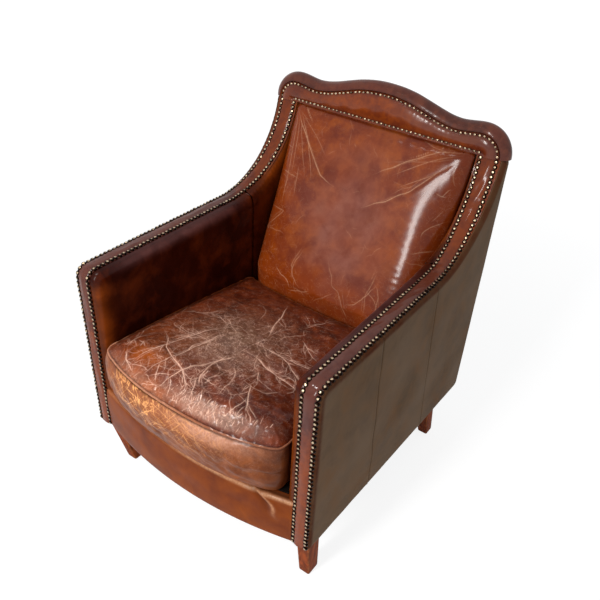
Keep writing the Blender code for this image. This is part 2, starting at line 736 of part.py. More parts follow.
def puffed_column(points, low, high):
    """Indices up one column of the puffed field, from the low row's point to the high row's."""
    start, end = Vector(points[low]), Vector(points[high])
    height = end.z - start.z
    ends = math.sin(math.pi / 2 * clamp01((INNER_ROW_EAR_X + 0.020 - abs(start.x)) / 0.07))
    rise = CREST_PUFF * clamp01(height / 0.058) ** 0.6 * ends
    column = [low]
    for share in (0.2, 0.5, 0.8):
        spot = start.lerp(end, share)
        points.append((spot.x, CREST_FACE - rise * math.sin(math.pi * share) ** 0.7, spot.z))
        column.append(len(points) - 1)
    return column + [high]


def crest_roll(chair):
    """Rolled leather border over the crest rail, from ear to ear."""
    row = crest_stations()
    front, rear = CREST_FACE, REAR_FACE
    section = ((ROLL_IN, front), (0.0100, front - 0.0020), (0.0170, front + 0.0008),
               (0.0230, front + 0.0080), (ROLL_OUT, front + 0.0190), (0.0250, rear - 0.0050),
               (0.0190, rear), (ROLL_IN, rear))
    lines = [offset_row(row, reach) for reach, _ in section]
    rings = []
    for k in range(len(row)):
        rings.append([(line[k][0], depth, line[k][1]) for line, (_, depth) in zip(lines, section)])
    loft("crest_roll", rings, "band_leather", chair)


# ---------------------------------------------------------------- covers
def outside_arm(word, side, chair):
    """Side cover from the outer nail row down to the hem, fuller towards the rear."""
    sink = 0.002
    sweep_r = SWEEP_R + sink
    outline = arm_outline(sink, COVER_HEM, sweep_height_angle(sweep_r, SEAM_Z), 14)
    hem_r = 0.022
    outline += [(REAR_FACE, SEAM_Z)]
    outline += arc((REAR_FACE - hem_r, fallen(COVER_HEM, REAR_FACE) + hem_r), hem_r, 0, -90, 4)

    def share(y):
        return clamp01(y / REAR_FACE)

    def face(y):
        return mix(SIDE_OUT_FRONT, SIDE_OUT_REAR, share(y))

    def ease(y):
        return mix(0.0030, 0.0100, share(y))

    layers = ((constant(FRAME_OUT + GAP), outline),
              (lambda y: face(y) - ease(y), outline),
              (lambda y: face(y) - 0.3 * ease(y), inset(outline, lambda y: 0.3 * ease(y))),
              (face, inset(outline, ease)))
    plate(f"{word}_outside_arm", side, layers, "side_leather", chair)


def inside_face(y):
    """Distance of the padded inner face from the centre plane, fullest at the wing seam."""
    if y < WING_SEAM:
        return mix(0.2590, INSIDE_FACE, clamp01(y / WING_SEAM))
    return mix(INSIDE_FACE, 0.2600, clamp01((y - WING_SEAM) / 0.10))


def inside_arm(word, side, chair):
    """Padded inner side of the arm, rounded over to the inner nail row."""
    seam = WING_SEAM - GAP
    low = deck_top(0.0) + 0.0007
    layers = []
    for share, draw in ((0.0, 0.0), (0.28, 0.0005), (0.64, 0.0055), (0.88, 0.0150), (1.0, 0.0320)):
        rim = 0.0015 + draw
        end = seam - 0.08 * draw
        outline = arm_outline(rim, low + draw, sweep_angle(SWEEP_R + rim, end), 3)
        outline += [(end, low + draw)]
        layers.append((padded_x(lambda y: FRAME_IN - GAP, share), outline))
    plate(f"{word}_inside_arm", side, layers, "arm_leather", chair)


def padded_x(root_at, share):
    """Distance from the centre plane at a share of the way from root_at to the inner face."""
    return lambda y: mix(root_at(y), inside_face(y), share)


def wing_outline(sink, low, draw, top_z, heel):
    """Side outline of the wing: its sweep edge set in by sink, and by draw near the arm seam."""
    rear, rail_foot = 0.730, CREST_FOOT - GAP
    centre = (ARM_LENGTH, ARM_TOP + SWEEP_R)
    radius = SWEEP_R + 0.0015 + sink
    start, end = sweep_height_angle(radius, top_z), sweep_angle(radius, WING_SEAM)
    points = [(WING_SEAM + 0.08 * draw, low + draw), (rear, low + draw), (rear, rail_foot)] + heel
    steps = 12
    for k in range(steps + 1):
        angle = math.radians(mix(start, end, k / steps))
        reach = radius + draw * mix(0.15, 1.0, k / steps)
        points.append((centre[0] + reach * math.cos(angle), centre[1] + reach * math.sin(angle)))
    points[-1] = (WING_SEAM + 0.08 * draw, points[-1][1])
    return points


def inside_wing(word, side, chair):
    """Padded inner side of the wing: tucked under the band, then rounded beside it."""
    tuck = BAND_THICK + 0.0008
    low = deck_top(0.0) + 0.0007
    rail_foot = CREST_FOOT - GAP
    top_z = SEAM_Z - 0.0005

    def beside(y):
        return nail_rows_at(y)[0] - NAIL_HALF - 0.0005

    def clear(y):
        return beside(y) - 0.0003

    tucked = wing_outline(tuck, low, 0.0, rail_foot - 0.004, [(0.7200, rail_foot), (0.7155, rail_foot - 0.001)])
    heel = [(0.7129, rail_foot), (0.7229, top_z)]
    layers = [(constant(FRAME_IN - GAP), tucked), (beside, tucked),
              (clear, wing_outline(0.0, low, 0.0, top_z, heel))]
    for share, draw in ((0.28, 0.0005), (0.64, 0.0055), (0.88, 0.0150), (1.0, 0.0320)):
        layers.append((padded_x(clear, share), wing_outline(0.0, low, draw, top_z, heel)))
    plate(f"{word}_inside_wing", side, layers, "arm_leather", chair)


def inside_back(chair):
    """Tight pillowed inside back, fullest low down and drawn in at the top."""
    heights = (PANEL_FOOT, 0.30, 0.34, 0.38, 0.42, 0.47, 0.52, 0.58, 0.64, 0.70, 0.75, 0.79, 0.812, PANEL_TOP)
    full_z = 0.42
    edge_low, edge_top = 0.5455, 0.7085
    across = (-1.0, -0.94, -0.82, -0.62, -0.36, 0.0, 0.36, 0.62, 0.82, 0.94, 1.0)
    rings = []
    for z in heights:
        up = clamp01((PANEL_TOP - z) / (PANEL_TOP - full_z))
        edge = mix(edge_low, edge_top, 1 - up)
        crown = PANEL_CROWN * math.sin(math.pi / 2 * up ** 0.75)
        if z < full_z:
            crown *= 1 - 0.4 * ((full_z - z) / (full_z - PANEL_FOOT)) ** 2
        rear = panel_back(z)
        half = PANEL_HALF + 0.004 * clamp01((z - 0.60) / 0.15)
        ring = [(half, rear, z), (-half, rear, z)]
        ring += [(u * half, edge - crown * (1 - abs(u) ** 2.6), z) for u in across]
        rings.append(ring)
    loft("inside_back", rings, "back_leather", chair)


def outside_back(chair):
    """Plain leather back, slightly crowned."""
    half = FRAME_OUT
    rim = offset_row(crest_stations(), NAIL_HALF)
    hem_r = 0.016
    hem = fallen(COVER_HEM, REAR_FACE)
    outline = arc((hem_r - half, hem + hem_r), hem_r, 180, 270, 3)
    outline += arc((half - hem_r, hem + hem_r), hem_r, -90, 0, 3)
    outline += [(half, SEAM_Z)] + rim
    outline += [(-half, SEAM_Z)]
    layers = ((REAR_FRAME + GAP, 0.0), (REAR_FACE - 0.0015, 0.0), (REAR_FACE, 0.004),
              (REAR_FACE + REAR_CROWN, 0.030))
    rings = []
    for depth, draw in layers:
        rings.append([(x, depth, z) for x, z in inset(outline, constant(draw))])
    loft("outside_back", rings, "side_leather", chair)


def dust_cover(chair):
    """Black lining stapled under the rails, notched round the legs."""
    half, wide, narrow = FRAME_IN - 0.0015, 0.312, 0.2815
    bow = [mix(-half, half, k / 12) for k in range(13)]
    right = [(half, 0.0605), (wide, 0.0605), (wide, 0.5755), (narrow, 0.5755),
             (narrow, 0.6245), (wide, 0.6245), (wide, 0.735), (half, REAR_FRAME)]
    outline = [(x, front_y(x) + 0.0095) for x in bow] + right
    outline += [(-x, y) for x, y in reversed(right)]
    levels = (FRAME_BOTTOM - 0.0015, FRAME_BOTTOM - GAP)
    rings = [[(x, y, fallen(z, y)) for x, y in outline] for z in levels]
    loft("dust_cover", rings, "lining", chair)


# ---------------------------------------------------------------- assembly
def clear_scene():
    """Remove every object that is in the scene."""
    for item in list(bpy.data.objects):
        bpy.data.objects.remove(item, do_unlink=True)


def build():
    """Make every piece of the chair."""
    clear_scene()
    chair = bpy.data.objects.new("chair", None)
    chair.location = (0.0, CENTRE_Y, LEVEL)
    bpy.context.scene.collection.objects.link(chair)

    for word, side in SIDES:
        arm_frame(word, side, chair)
    seat_frame(chair)
    crest_rail(chair)
    inner_back_frame(chair)
    legs(chair)
    seat_springs(chair)
    seat_deck(chair)
    front_panel(chair)
    seat_cushion(chair)
    for word, side in SIDES:
        arm_band(word, side, chair)
        outside_arm(word, side, chair)
        inside_arm(word, side, chair)
        inside_wing(word, side, chair)
    crest_panel(chair)
    crest_roll(chair)
    inside_back(chair)
    outside_back(chair)
    dust_cover(chair)
    bpy.context.view_layer.update()


build()
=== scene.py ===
"""Worn leather club chair: every visible surface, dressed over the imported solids.

Metres, +Z up. Inside the classes depths (y) run back from the plane of the nailed arm
fronts and heights (z) up from a level just above the floor, as in the part's own source;
datum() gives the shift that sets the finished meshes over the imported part. Left is -X.
"""
from __future__ import annotations

import logging
import math
from dataclasses import dataclass, field
from enum import Enum
from typing import Callable, Sequence

import bmesh
import bpy
import numpy as np
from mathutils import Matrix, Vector
from mathutils.geometry import delaunay_2d_cdt
from mathutils.kdtree import KDTree


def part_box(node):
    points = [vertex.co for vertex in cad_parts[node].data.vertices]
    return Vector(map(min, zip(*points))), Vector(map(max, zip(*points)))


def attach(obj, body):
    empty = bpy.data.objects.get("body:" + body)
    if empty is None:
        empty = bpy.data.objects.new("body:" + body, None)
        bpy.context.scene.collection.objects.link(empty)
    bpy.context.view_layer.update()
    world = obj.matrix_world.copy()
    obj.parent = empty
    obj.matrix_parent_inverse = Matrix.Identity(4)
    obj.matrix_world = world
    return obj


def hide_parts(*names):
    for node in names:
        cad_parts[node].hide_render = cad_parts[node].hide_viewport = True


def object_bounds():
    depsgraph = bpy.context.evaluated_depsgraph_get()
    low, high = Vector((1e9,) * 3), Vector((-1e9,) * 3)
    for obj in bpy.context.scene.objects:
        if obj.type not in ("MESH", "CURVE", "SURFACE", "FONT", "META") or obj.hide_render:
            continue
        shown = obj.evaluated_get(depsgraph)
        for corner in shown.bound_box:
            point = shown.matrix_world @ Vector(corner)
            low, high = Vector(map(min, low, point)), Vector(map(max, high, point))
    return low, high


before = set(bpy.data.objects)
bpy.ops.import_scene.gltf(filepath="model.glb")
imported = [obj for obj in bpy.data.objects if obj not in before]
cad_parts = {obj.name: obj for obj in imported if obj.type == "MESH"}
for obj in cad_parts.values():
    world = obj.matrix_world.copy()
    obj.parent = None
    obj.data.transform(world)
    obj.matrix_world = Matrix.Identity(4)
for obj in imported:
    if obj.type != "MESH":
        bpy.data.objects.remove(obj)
CAD_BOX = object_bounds()

LOG = logging.getLogger("club_chair")
MM = 0.001
Array = np.ndarray
Material = bpy.types.Material
Socket = bpy.types.NodeSocket
Tree = bpy.types.NodeTree


# ---------------------------------------------------------------- shared sizes
@dataclass(frozen=True)
class ChairSizes:
    """Sizes shared by the covers, the same values as in the solids."""

    gap: float = 0.0003
    arm_top: float = 0.6165
    arm_length: float = 0.460
    sweep_r: float = 0.261
    corner_r: float = 0.026
    hem: float = 0.165
    hem_fall: float = 0.060
    seam_z: float = 0.826
    band_thick: float = 0.006
    frame_inset: float = 0.0068
    inner_row: float = 0.286
    outer_row: float = 0.318
    inner_row_ear: float = 0.272
    outer_row_ear: float = 0.3115
    wing_seam: float = 0.5203
    nail_pitch: float = 0.012
    nail_half: float = 0.005
    frame_in: float = 0.281
    frame_out: float = 0.3215
    rear_frame: float = 0.7457
    rear_face: float = 0.7497
    rail_top: float = 0.262
    front_bow: float = 0.0376
    deck_top: float = 0.2885
    crest_face: float = 0.7165
    crest_foot: float = 0.790
    arm_face_front: float = 0.2590   # padded inner face of the arm, from the middle plane
    arm_face_rear: float = 0.2540
    wing_flare: float = 0.0060       # how far the wing opens out over wing_flare_run
    wing_flare_run: float = 0.10

    def fallen(self, height: float, y: float) -> float:
        """A height at the front, lowered to the rear as the chair's underside is."""
        return height - self.hem_fall * max(0.0, y)

    def rows_at(self, y: Array) -> tuple[Array, Array]:
        """Distances of the inner and outer nail rows from the middle plane at depths y."""
        ear_y = self.arm_length + math.sqrt(
            self.sweep_r ** 2 - (self.arm_top + self.sweep_r - self.seam_z) ** 2)
        share = np.clip((y - self.wing_seam) / (ear_y - self.wing_seam), 0, 1)
        return (mix(self.inner_row, self.inner_row_ear, share),
                mix(self.outer_row, self.outer_row_ear, share))

    def inside_face(self, y: Array) -> Array:
        """Distance of the padded inner face of arm and wing from the middle plane."""
        arm = mix(self.arm_face_front, self.arm_face_rear, np.clip(y / self.wing_seam, 0, 1))
        wing = self.arm_face_rear + self.wing_flare * np.clip(
            (y - self.wing_seam) / self.wing_flare_run, 0, 1)
        return np.where(y < self.wing_seam, arm, wing)


SIZES = ChairSizes()
SIDES = (("left", -1), ("right", 1))


def datum() -> Array:
    """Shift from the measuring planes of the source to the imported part's frame."""
    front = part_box("left_arm_post")[0].y - SIZES.frame_inset
    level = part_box("front_rail")[1].z - SIZES.rail_top
    return np.array((0.0, front, level))


DATUM = datum()


# ---------------------------------------------------------------- number helpers
def mix(start: float | Array, end: float | Array, share: float | Array) -> float | Array:
    """Linear blend from start to end."""
    return start + (end - start) * share


def smooth(low: float, high: float, value: Array | float) -> Array:
    """Zero below low, one above high, with an eased rise between."""
    t = np.clip((np.asarray(value, float) - low) / (high - low), 0, 1)
    return t * t * (3 - 2 * t)


def bell(value: Array, width: float | Array, centre: float = 0.0) -> Array:
    """A bell of height one round centre."""
    return np.exp(-((value - centre) / width) ** 2)


def spot_at(x: Array, y: Array, centre: tuple[float, float], size: tuple[float, float]) -> Array:
    """A round or oval patch of height one at centre, fading over size."""
    return np.exp(-(((x - centre[0]) / size[0]) ** 2 + ((y - centre[1]) / size[1]) ** 2))


def rim_ease(away: Array, width: float | Array, power: float) -> Array:
    """The rise of a rounded edge: zero at the rim, one from width inwards."""
    return np.sin(math.pi / 2 * np.clip(away / width, 0, 1)) ** power


def arc(centre: Sequence[float], radius: float, start: float, end: float, steps: int) -> Array:
    """Points on a circle between two angles in degrees, both ends included."""
    a = np.radians(np.linspace(start, end, steps + 1))
    return np.column_stack((centre[0] + radius * np.cos(a), centre[1] + radius * np.sin(a)))


def path_lengths(path: Array) -> Array:
    """Distance along a path at each of its points."""
    return np.concatenate(([0.0], np.cumsum(np.linalg.norm(np.diff(path, axis=0), axis=1))))


def at_length(path: Array, where: Array) -> Array:
    """Points on a path at given distances along it."""
    run = path_lengths(path)
    return np.column_stack([np.interp(where, run, path[:, k]) for k in range(path.shape[1])])


def resample(path: Array, spacing: float) -> Array:
    """The path cut into equal steps of about spacing."""
    length = path_lengths(path)[-1]
    count = max(1, round(length / spacing))
    return at_length(path, np.linspace(0, length, count + 1))


def looped(path: Array) -> Array:
    """The path closed by its first point."""
    return np.vstack((path, path[:1]))


def along_line(line: Array) -> Array:
    """Unit vectors along a line at each of its points."""
    ahead = np.gradient(line, axis=0)
    return ahead / np.linalg.norm(ahead, axis=1)[:, None]


def beside_line(line: Array) -> Array:
    """Unit vectors to the right of a flat line at each of its points."""
    ahead = along_line(line)
    return np.column_stack((ahead[:, 1], -ahead[:, 0]))


def nearest(points: Array, path: Array) -> tuple[Array, Array]:
    """Distance from each point to a path, and how far along the path that is."""
    best = np.full(len(points), 1e9)
    along = np.zeros(len(points))
    run = path_lengths(path)
    for k in range(len(path) - 1):
        start, step = path[k], path[k + 1] - path[k]
        size = float(step @ step)
        if size < 1e-14:
            continue
        t = np.clip(((points - start) @ step) / size, 0, 1)
        away = np.linalg.norm(points - start - t[:, None] * step, axis=1)
        closer = away < best
        best[closer] = away[closer]
        along[closer] = run[k] + t[closer] * math.sqrt(size)
    return best, along


def inside_outline(points: Array, outline: Array) -> Array:
    """Which points lie inside a closed outline."""
    x, y = points[:, 0], points[:, 1]
    inside = np.zeros(len(points), bool)
    for a, b in zip(outline, np.roll(outline, -1, axis=0)):
        crosses = (a[1] > y) != (b[1] > y)
        with np.errstate(divide="ignore", invalid="ignore"):
            at = (b[0] - a[0]) * (y - a[1]) / (b[1] - a[1]) + a[0]
        inside ^= crosses & (x < at)
    return inside


def ripple(points: Array, wavelength: float, seed: int, waves: int = 14) -> Array:
    """Soft irregular undulation, about -1 to 1, from seeded sine waves.

    Args:
        points: positions, one row each, in metres.
        wavelength: mean distance between crests, in metres.
        seed: picks the pattern.
        waves: how many sines are added up.

    Returns:
        One height for each point.
    """
    rng = np.random.default_rng(seed)
    total = np.zeros(len(points))
    for _ in range(waves):
        way = rng.normal(size=points.shape[1])
        way *= 2 * math.pi / (wavelength * rng.uniform(0.6, 1.7) * np.linalg.norm(way))
        total += np.sin(points @ way + rng.uniform(0, 2 * math.pi))
    return total / math.sqrt(waves * 1.6)


def gathers(along: Array, away: Array, pitch: float, reach: float, seed: int) -> Array:
    """Leather gathered between nails: high halfway between two, fading from the row.

    Args:
        along: distance along the row, with a nail at every half pitch.
        away: distance from the row.
        pitch: nail spacing.
        reach: how far the gathers run before they fade.
        seed: varies one gather from the next.

    Returns:
        Height from 0 to about 1.
    """
    wave = 0.5 + 0.5 * np.cos(2 * math.pi * along / pitch)
    uneven = 0.75 + 0.35 * ripple(along[:, None], 3.3 * pitch, seed)
    length = reach * (1.0 + 0.45 * ripple(along[:, None], 2.1 * pitch, seed + 1))
    return wave * uneven * np.exp(-(away / np.clip(length, 0.4 * reach, None)) ** 1.6)


# ---------------------------------------------------------------- strokes
FLANK = 1.55    # distance of the mesh points beside a crease, in its half widths


@dataclass(frozen=True)
class Stroke:
    """One crease or scratch: a line on the flat, tapering at both ends."""

    line: Array
    width: float
    strength: float


def wander(start: Sequence[float], heading: float, length: float, curl: float,
           rng: np.random.Generator) -> Array:
    """A wandering line from start, its heading (radians) drifting by curl at each step."""
    steps = max(4, int(length / 0.006))
    points = [np.array(start, float)]
    drift = rng.normal() * curl * 0.5
    for _ in range(steps):
        heading += rng.normal() * curl + drift * 0.3
        points.append(points[-1] + length / steps * np.array((math.cos(heading), math.sin(heading))))
    return np.array(points)


def bundle(line: Array, width: float, strength: float, count: int, spread: float,
           rng: np.random.Generator) -> list[Stroke]:
    """A main crease with weaker ones running beside parts of it.

    Args:
        line: the main crease.
        width: its half width.
        strength: how strongly it marks.
        count: how many companions it has.
        spread: how far they lie from it.
        rng: source of their variation.

    Returns:
        The strokes, the main one first.
    """
    line = resample(line, 0.004)
    length = path_lengths(line)[-1]
    line = line + 0.0010 * np.column_stack((ripple(line, 0.05, 7), ripple(line, 0.05, 8)))
    strokes = [Stroke(line, width, strength)]
    for _ in range(count):
        start, end = sorted(rng.uniform(0, length, 2))
        if end - start < 0.15 * length:
            continue
        part = at_length(line, np.linspace(start, end, max(4, int((end - start) / 0.005))))
        off = rng.normal(size=2) * spread
        fan = np.linspace(rng.uniform(-1, 1), rng.uniform(-1, 1), len(part))[:, None]
        part = part + off + fan * rng.normal(size=2) * spread
        part = part + 0.0011 * np.column_stack((ripple(part, 0.045, 9), ripple(part, 0.045, 10)))
        strokes.append(Stroke(part, 0.6 * width * rng.uniform(0.7, 1.2), strength * rng.uniform(0.3, 0.8)))
    return strokes


def branches(stroke: Stroke, count: int, reach: tuple[float, float],
             rng: np.random.Generator) -> list[Stroke]:
    """Side cracks that leave a crease at sharp angles and run out.

    Args:
        stroke: the crease.
        count: how many leave it.
        reach: shortest and longest.
        rng: source of their variation.

    Returns:
        The side cracks.
    """
    length = path_lengths(stroke.line)[-1]
    found = []
    for at in rng.uniform(0.05, 0.93, count) * length:
        spot, ahead = at_length(stroke.line, np.array((at, min(at + 0.006, length))))
        heading = math.atan2(ahead[1] - spot[1], ahead[0] - spot[0])
        heading += rng.choice((-1, 1)) * rng.uniform(0.25, 1.0)
        found.append(Stroke(wander(spot, heading, rng.uniform(*reach), 0.20, rng),
                            stroke.width * rng.uniform(0.55, 0.85), stroke.strength * rng.uniform(0.35, 0.9)))
    return found


def paint(points: Array, strokes: Sequence[Stroke]) -> Array:
    """How strongly strokes mark each point, from 0 to 1."""
    marks = np.zeros(len(points))
    for stroke in strokes:
        reach = 3 * stroke.width
        low, high = stroke.line.min(0) - reach, stroke.line.max(0) + reach
        near = np.flatnonzero(((points > low) & (points < high)).all(axis=1))
        if not len(near):
            continue
        away, along = nearest(points[near], stroke.line)
        length = path_lengths(stroke.line)[-1]
        taper = np.clip(4.5 * np.minimum(along, length - along) / length, 0.12, 1)
        mark = stroke.strength * taper * np.exp(-(away / (stroke.width * (0.45 + 0.55 * taper))) ** 2)
        marks[near] = np.maximum(marks[near], mark)
    return marks


def crease_mesh(strokes: Sequence[Stroke], outline: Array, shrink: float = 0.985,
                ) -> tuple[list[Array], list[Array]]:
    """Edges along strokes and points beside them, all inside an outline.

    Args:
        strokes: the creases.
        outline: the panel's outline.
        shrink: share of the outline, about its middle, within which they stay.

    Returns:
        The lines, and rows of points on both sides of each.
    """
    centre = outline.mean(0)
    inner = centre + (outline - centre) * shrink
    lines, flanks = [], []
    for stroke in strokes:
        line = resample(stroke.line, 0.0030)
        inside = inside_outline(line, inner)
        line = line[:len(line) if inside.all() else int(np.argmin(inside))]
        if len(line) < 3:
            continue
        across = beside_line(line) * FLANK * stroke.width
        lines.append(line)
        for row in (line + across, line - across):
            flanks.append(row[inside_outline(row, inner)])
    return lines, flanks


# ---------------------------------------------------------------- meshes
CORD_SIDES = 8


class Mark(Enum):
    """What a leather finish reads at each point of a mesh."""

    RUB = "rub"          # finish rubbed through to the tan hide
    SCAR = "scar"        # pale crease or scratch; also a painted highlight on the seat's front edge, the boxing under the welt and the rail's top edge
    BLOOM = "bloom"      # wax dried to a grey-brown bloom; on the arms' tops and the crest's upper right also a painted sheen
    GRIME = "grime"      # painted shade: darker in hollows, seams, beside nail heads and on faces turned from the light; a few random darker patches too
    CRACKLE = "crackle"  # how thick the fine crack net lies
    HATCH = "hatch"      # crossing golden scratches


@dataclass
class Shape:
    """Points, faces and marks of one closed mesh."""

    points: Array
    faces: list[tuple[int, ...]]
    marks: dict[str, Array] = field(default_factory=dict)

    def mark(self, kind: Mark, values: Array) -> None:
        """Record a mark, zero at points beyond those given."""
        full = np.zeros(len(self.points))
        full[:len(values)] = np.clip(values, 0, 1)
        self.marks[kind.value] = full


def join(shapes: Sequence[Shape]) -> Shape:
    """Several closed meshes as one."""
    points, faces, start = [], [], 0
    marks: dict[str, list[Array]] = {}
    names = sorted({name for shape in shapes for name in shape.marks})
    for shape in shapes:
        points.append(shape.points)
        faces += [tuple(k + start for k in face) for face in shape.faces]
        for name in names:
            marks.setdefault(name, []).append(shape.marks.get(name, np.zeros(len(shape.points))))
        start += len(shape.points)
    return Shape(np.vstack(points), faces, {k: np.concatenate(v) for k, v in marks.items()})


def publish(name: str, shape: Shape, finish: Material,
            nodes: Sequence[str] = (), sharp: float = 42.0) -> bpy.types.Object:
    """Make the object, hang it on the chair and let it stand for its solids.

    Args:
        name: the piece's name.
        shape: its mesh, in the source's measuring frame.
        finish: its material.
        nodes: solids that it replaces.
        sharp: edges bent more than this many degrees stay crisp.

    Returns:
        The new object.
    """
    mesh = bpy.data.meshes.new(name)
    mesh.from_pydata((shape.points + DATUM).tolist(), [], shape.faces)
    work = bmesh.new()
    work.from_mesh(mesh)
    bmesh.ops.recalc_face_normals(work, faces=work.faces)
    work.to_mesh(mesh)
    work.free()
    for key, values in shape.marks.items():
        layer = mesh.attributes.new(key, "FLOAT", "POINT")
        layer.data.foreach_set("value", values.astype(np.float32))
    mesh.materials.append(finish)
    mesh.shade_smooth()
    mesh.set_sharp_from_angle(angle=math.radians(sharp))
    piece = bpy.data.objects.new(name, mesh)
    bpy.context.scene.collection.objects.link(piece)
    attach(piece, "root")
    if nodes:
        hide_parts(*nodes)
    LOG.info("%s: %d faces", name, len(mesh.polygons))
    return piece


def ring_loft(rings: Array, closed: bool = False) -> Shape:
    """A closed skin through rings of equal length, shape (rings, points, 3).

    Args:
        rings: the rings in order.
        closed: whether the last ring joins the first, as on a tyre.

    Returns:
        The mesh, with flat ends where it isn't closed.
    """
    count, size = rings.shape[:2]
    faces = []
    last = count if closed else count - 1
    for r in range(last):
        here, after = r * size, ((r + 1) % count) * size
        faces += [(here + k, here + (k + 1) % size, after + (k + 1) % size, after + k)
                  for k in range(size)]
    if not closed:
        faces += [tuple(range(size)), tuple(range((count - 1) * size, count * size))]
    return Shape(rings.reshape(-1, 3), faces)


def cord(line: Array, ahead: Array, across: Array, radius: float, closed: bool = False) -> Shape:
    """A round cord along a line.

    Args:
        line: its middle line.
        ahead: unit vectors along it.
        across: unit vectors square to it.
        radius: half its thickness.
        closed: whether its ends meet.

    Returns:
        The mesh, CORD_SIDES points round.
    """
    over = np.cross(across, ahead)
    turn = np.linspace(0, 2 * math.pi, CORD_SIDES, endpoint=False)
    rings = line[:, None] + radius * (np.cos(turn)[None, :, None] * across[:, None]
                                      + np.sin(turn)[None, :, None] * over[:, None])
    return ring_loft(rings, closed)


class Panel:
    """A flat cut outline filled with points: a field that cover functions raise."""

    def __init__(self, outline: Array, spacing: float, extra: Sequence[Array] = (),
                 creases: Sequence[Array] = (), cut: bool = True) -> None:
        """Fill a closed outline.

        Args:
            outline: its corners in order, one row each.
            spacing: distance between the points inside.
            extra: more points wanted inside, such as beside a seam.
            creases: lines inside that become edges, so that fine marks stay crisp.
            cut: whether the outline is cut evenly, rather than used as it is.
        """
        loop = resample(looped(outline), 0.8 * spacing)[:-1] if cut else outline
        self.count = len(loop)
        edges = [(k, (k + 1) % self.count) for k in range(self.count)]
        groups = [loop]
        start = self.count
        for line in creases:
            groups.append(line)
            edges += [(start + k, start + k + 1) for k in range(len(line) - 1)]
            start += len(line)
        groups += [line for line in extra if len(line)]
        groups.append(self._hexagons(loop, spacing, np.vstack(groups)))
        flat = [Vector(p) for p in np.vstack(groups)]
        found = delaunay_2d_cdt(flat, edges, [], 1, 1e-7)
        self.flat = np.array([tuple(p) for p in found[0]])
        self.triangles = [tuple(face) for face in found[2]]
        sources = {source: k for k, group in enumerate(found[3]) for source in group}
        self.rim = [sources[k] for k in range(self.count)]

    @staticmethod
    def _hexagons(loop: Array, spacing: float, taken: Array) -> Array:
        """Evenly set points inside the loop, clear of those already taken."""
        low, high = loop.min(0), loop.max(0)
        points = []
        for k, height in enumerate(np.arange(low[1], high[1], spacing * 0.866)):
            across = np.arange(low[0] + (k % 2) * spacing / 2, high[0], spacing)
            points.append(np.column_stack((across, np.full(len(across), height))))
        points = np.vstack(points)
        points = points[inside_outline(points, loop)]
        near = KDTree(len(taken))
        for k, (a, b) in enumerate(taken):
            near.insert((a, b, 0.0), k)
        near.balance()
        clear = [near.find((a, b, 0.0))[2] > 0.5 * spacing for a, b in points]
        return points[np.array(clear)]

    def solid(self, front: Array, back: Callable[[Array], Array]) -> Shape:
        """Close the raised field with a rim and a flat back.

        Args:
            front: the raised position of each point.
            back: gives the back positions of the rim's flat points.

        Returns:
            The closed mesh; its first points are those of the field.
        """
        behind = back(self.flat[self.rim])
        start = len(front)
        faces = list(self.triangles)
        for k in range(self.count):
            after = (k + 1) % self.count
            faces.append((self.rim[k], self.rim[after], start + after, start + k))
        faces.append(tuple(range(start, start + self.count)))
        return Shape(np.vstack((front, behind)), faces)


# ---------------------------------------------------------------- finishes
def linear(code: str, level: float = 1.0) -> tuple[float, float, float, float]:
    """An sRGB hex colour as linear RGBA, scaled by level."""
    values = [int(code[k:k + 2], 16) / 255 for k in (1, 3, 5)]
    out = [v / 12.92 if v <= 0.04045 else ((v + 0.055) / 1.055) ** 2.4 for v in values]
    return (out[0] * level, out[1] * level, out[2] * level, 1.0)


def per_metre(size_mm: float) -> float:
    """Texture scale that repeats once in size_mm."""
    return 1000.0 / size_mm


def add_node(tree: Tree, kind: str, settings: dict[str, object] | None = None,
             inputs: dict[object, object] | None = None) -> bpy.types.Node:
    """Add one shader node.

    Args:
        tree: the node tree.
        kind: the node's type, without its ShaderNode prefix.
        settings: values of the node's own properties.
        inputs: for each socket, a value or the output that feeds it.

    Returns:
        The new node.
    """
    node = tree.nodes.new("ShaderNode" + kind)
    for key, value in (settings or {}).items():
        setattr(node, key, value)
    for key, value in (inputs or {}).items():
        if isinstance(value, Socket):
            tree.links.new(value, node.inputs[key])
        else:
            node.inputs[key].default_value = value
    return node


def blend(tree: Tree, share: Socket | float,
          below: object, above: object) -> Socket:
    """Lay one colour over another by a share."""
    node = add_node(tree, "Mix", {"data_type": "RGBA"}, {0: share, 6: below, 7: above})
    return node.outputs[2]


def new_material(name: str) -> tuple[Material, Tree]:
    """An empty node material."""
    material = bpy.data.materials.new(name)
    material.use_nodes = True
    material.node_tree.nodes.clear()
    return material, material.node_tree


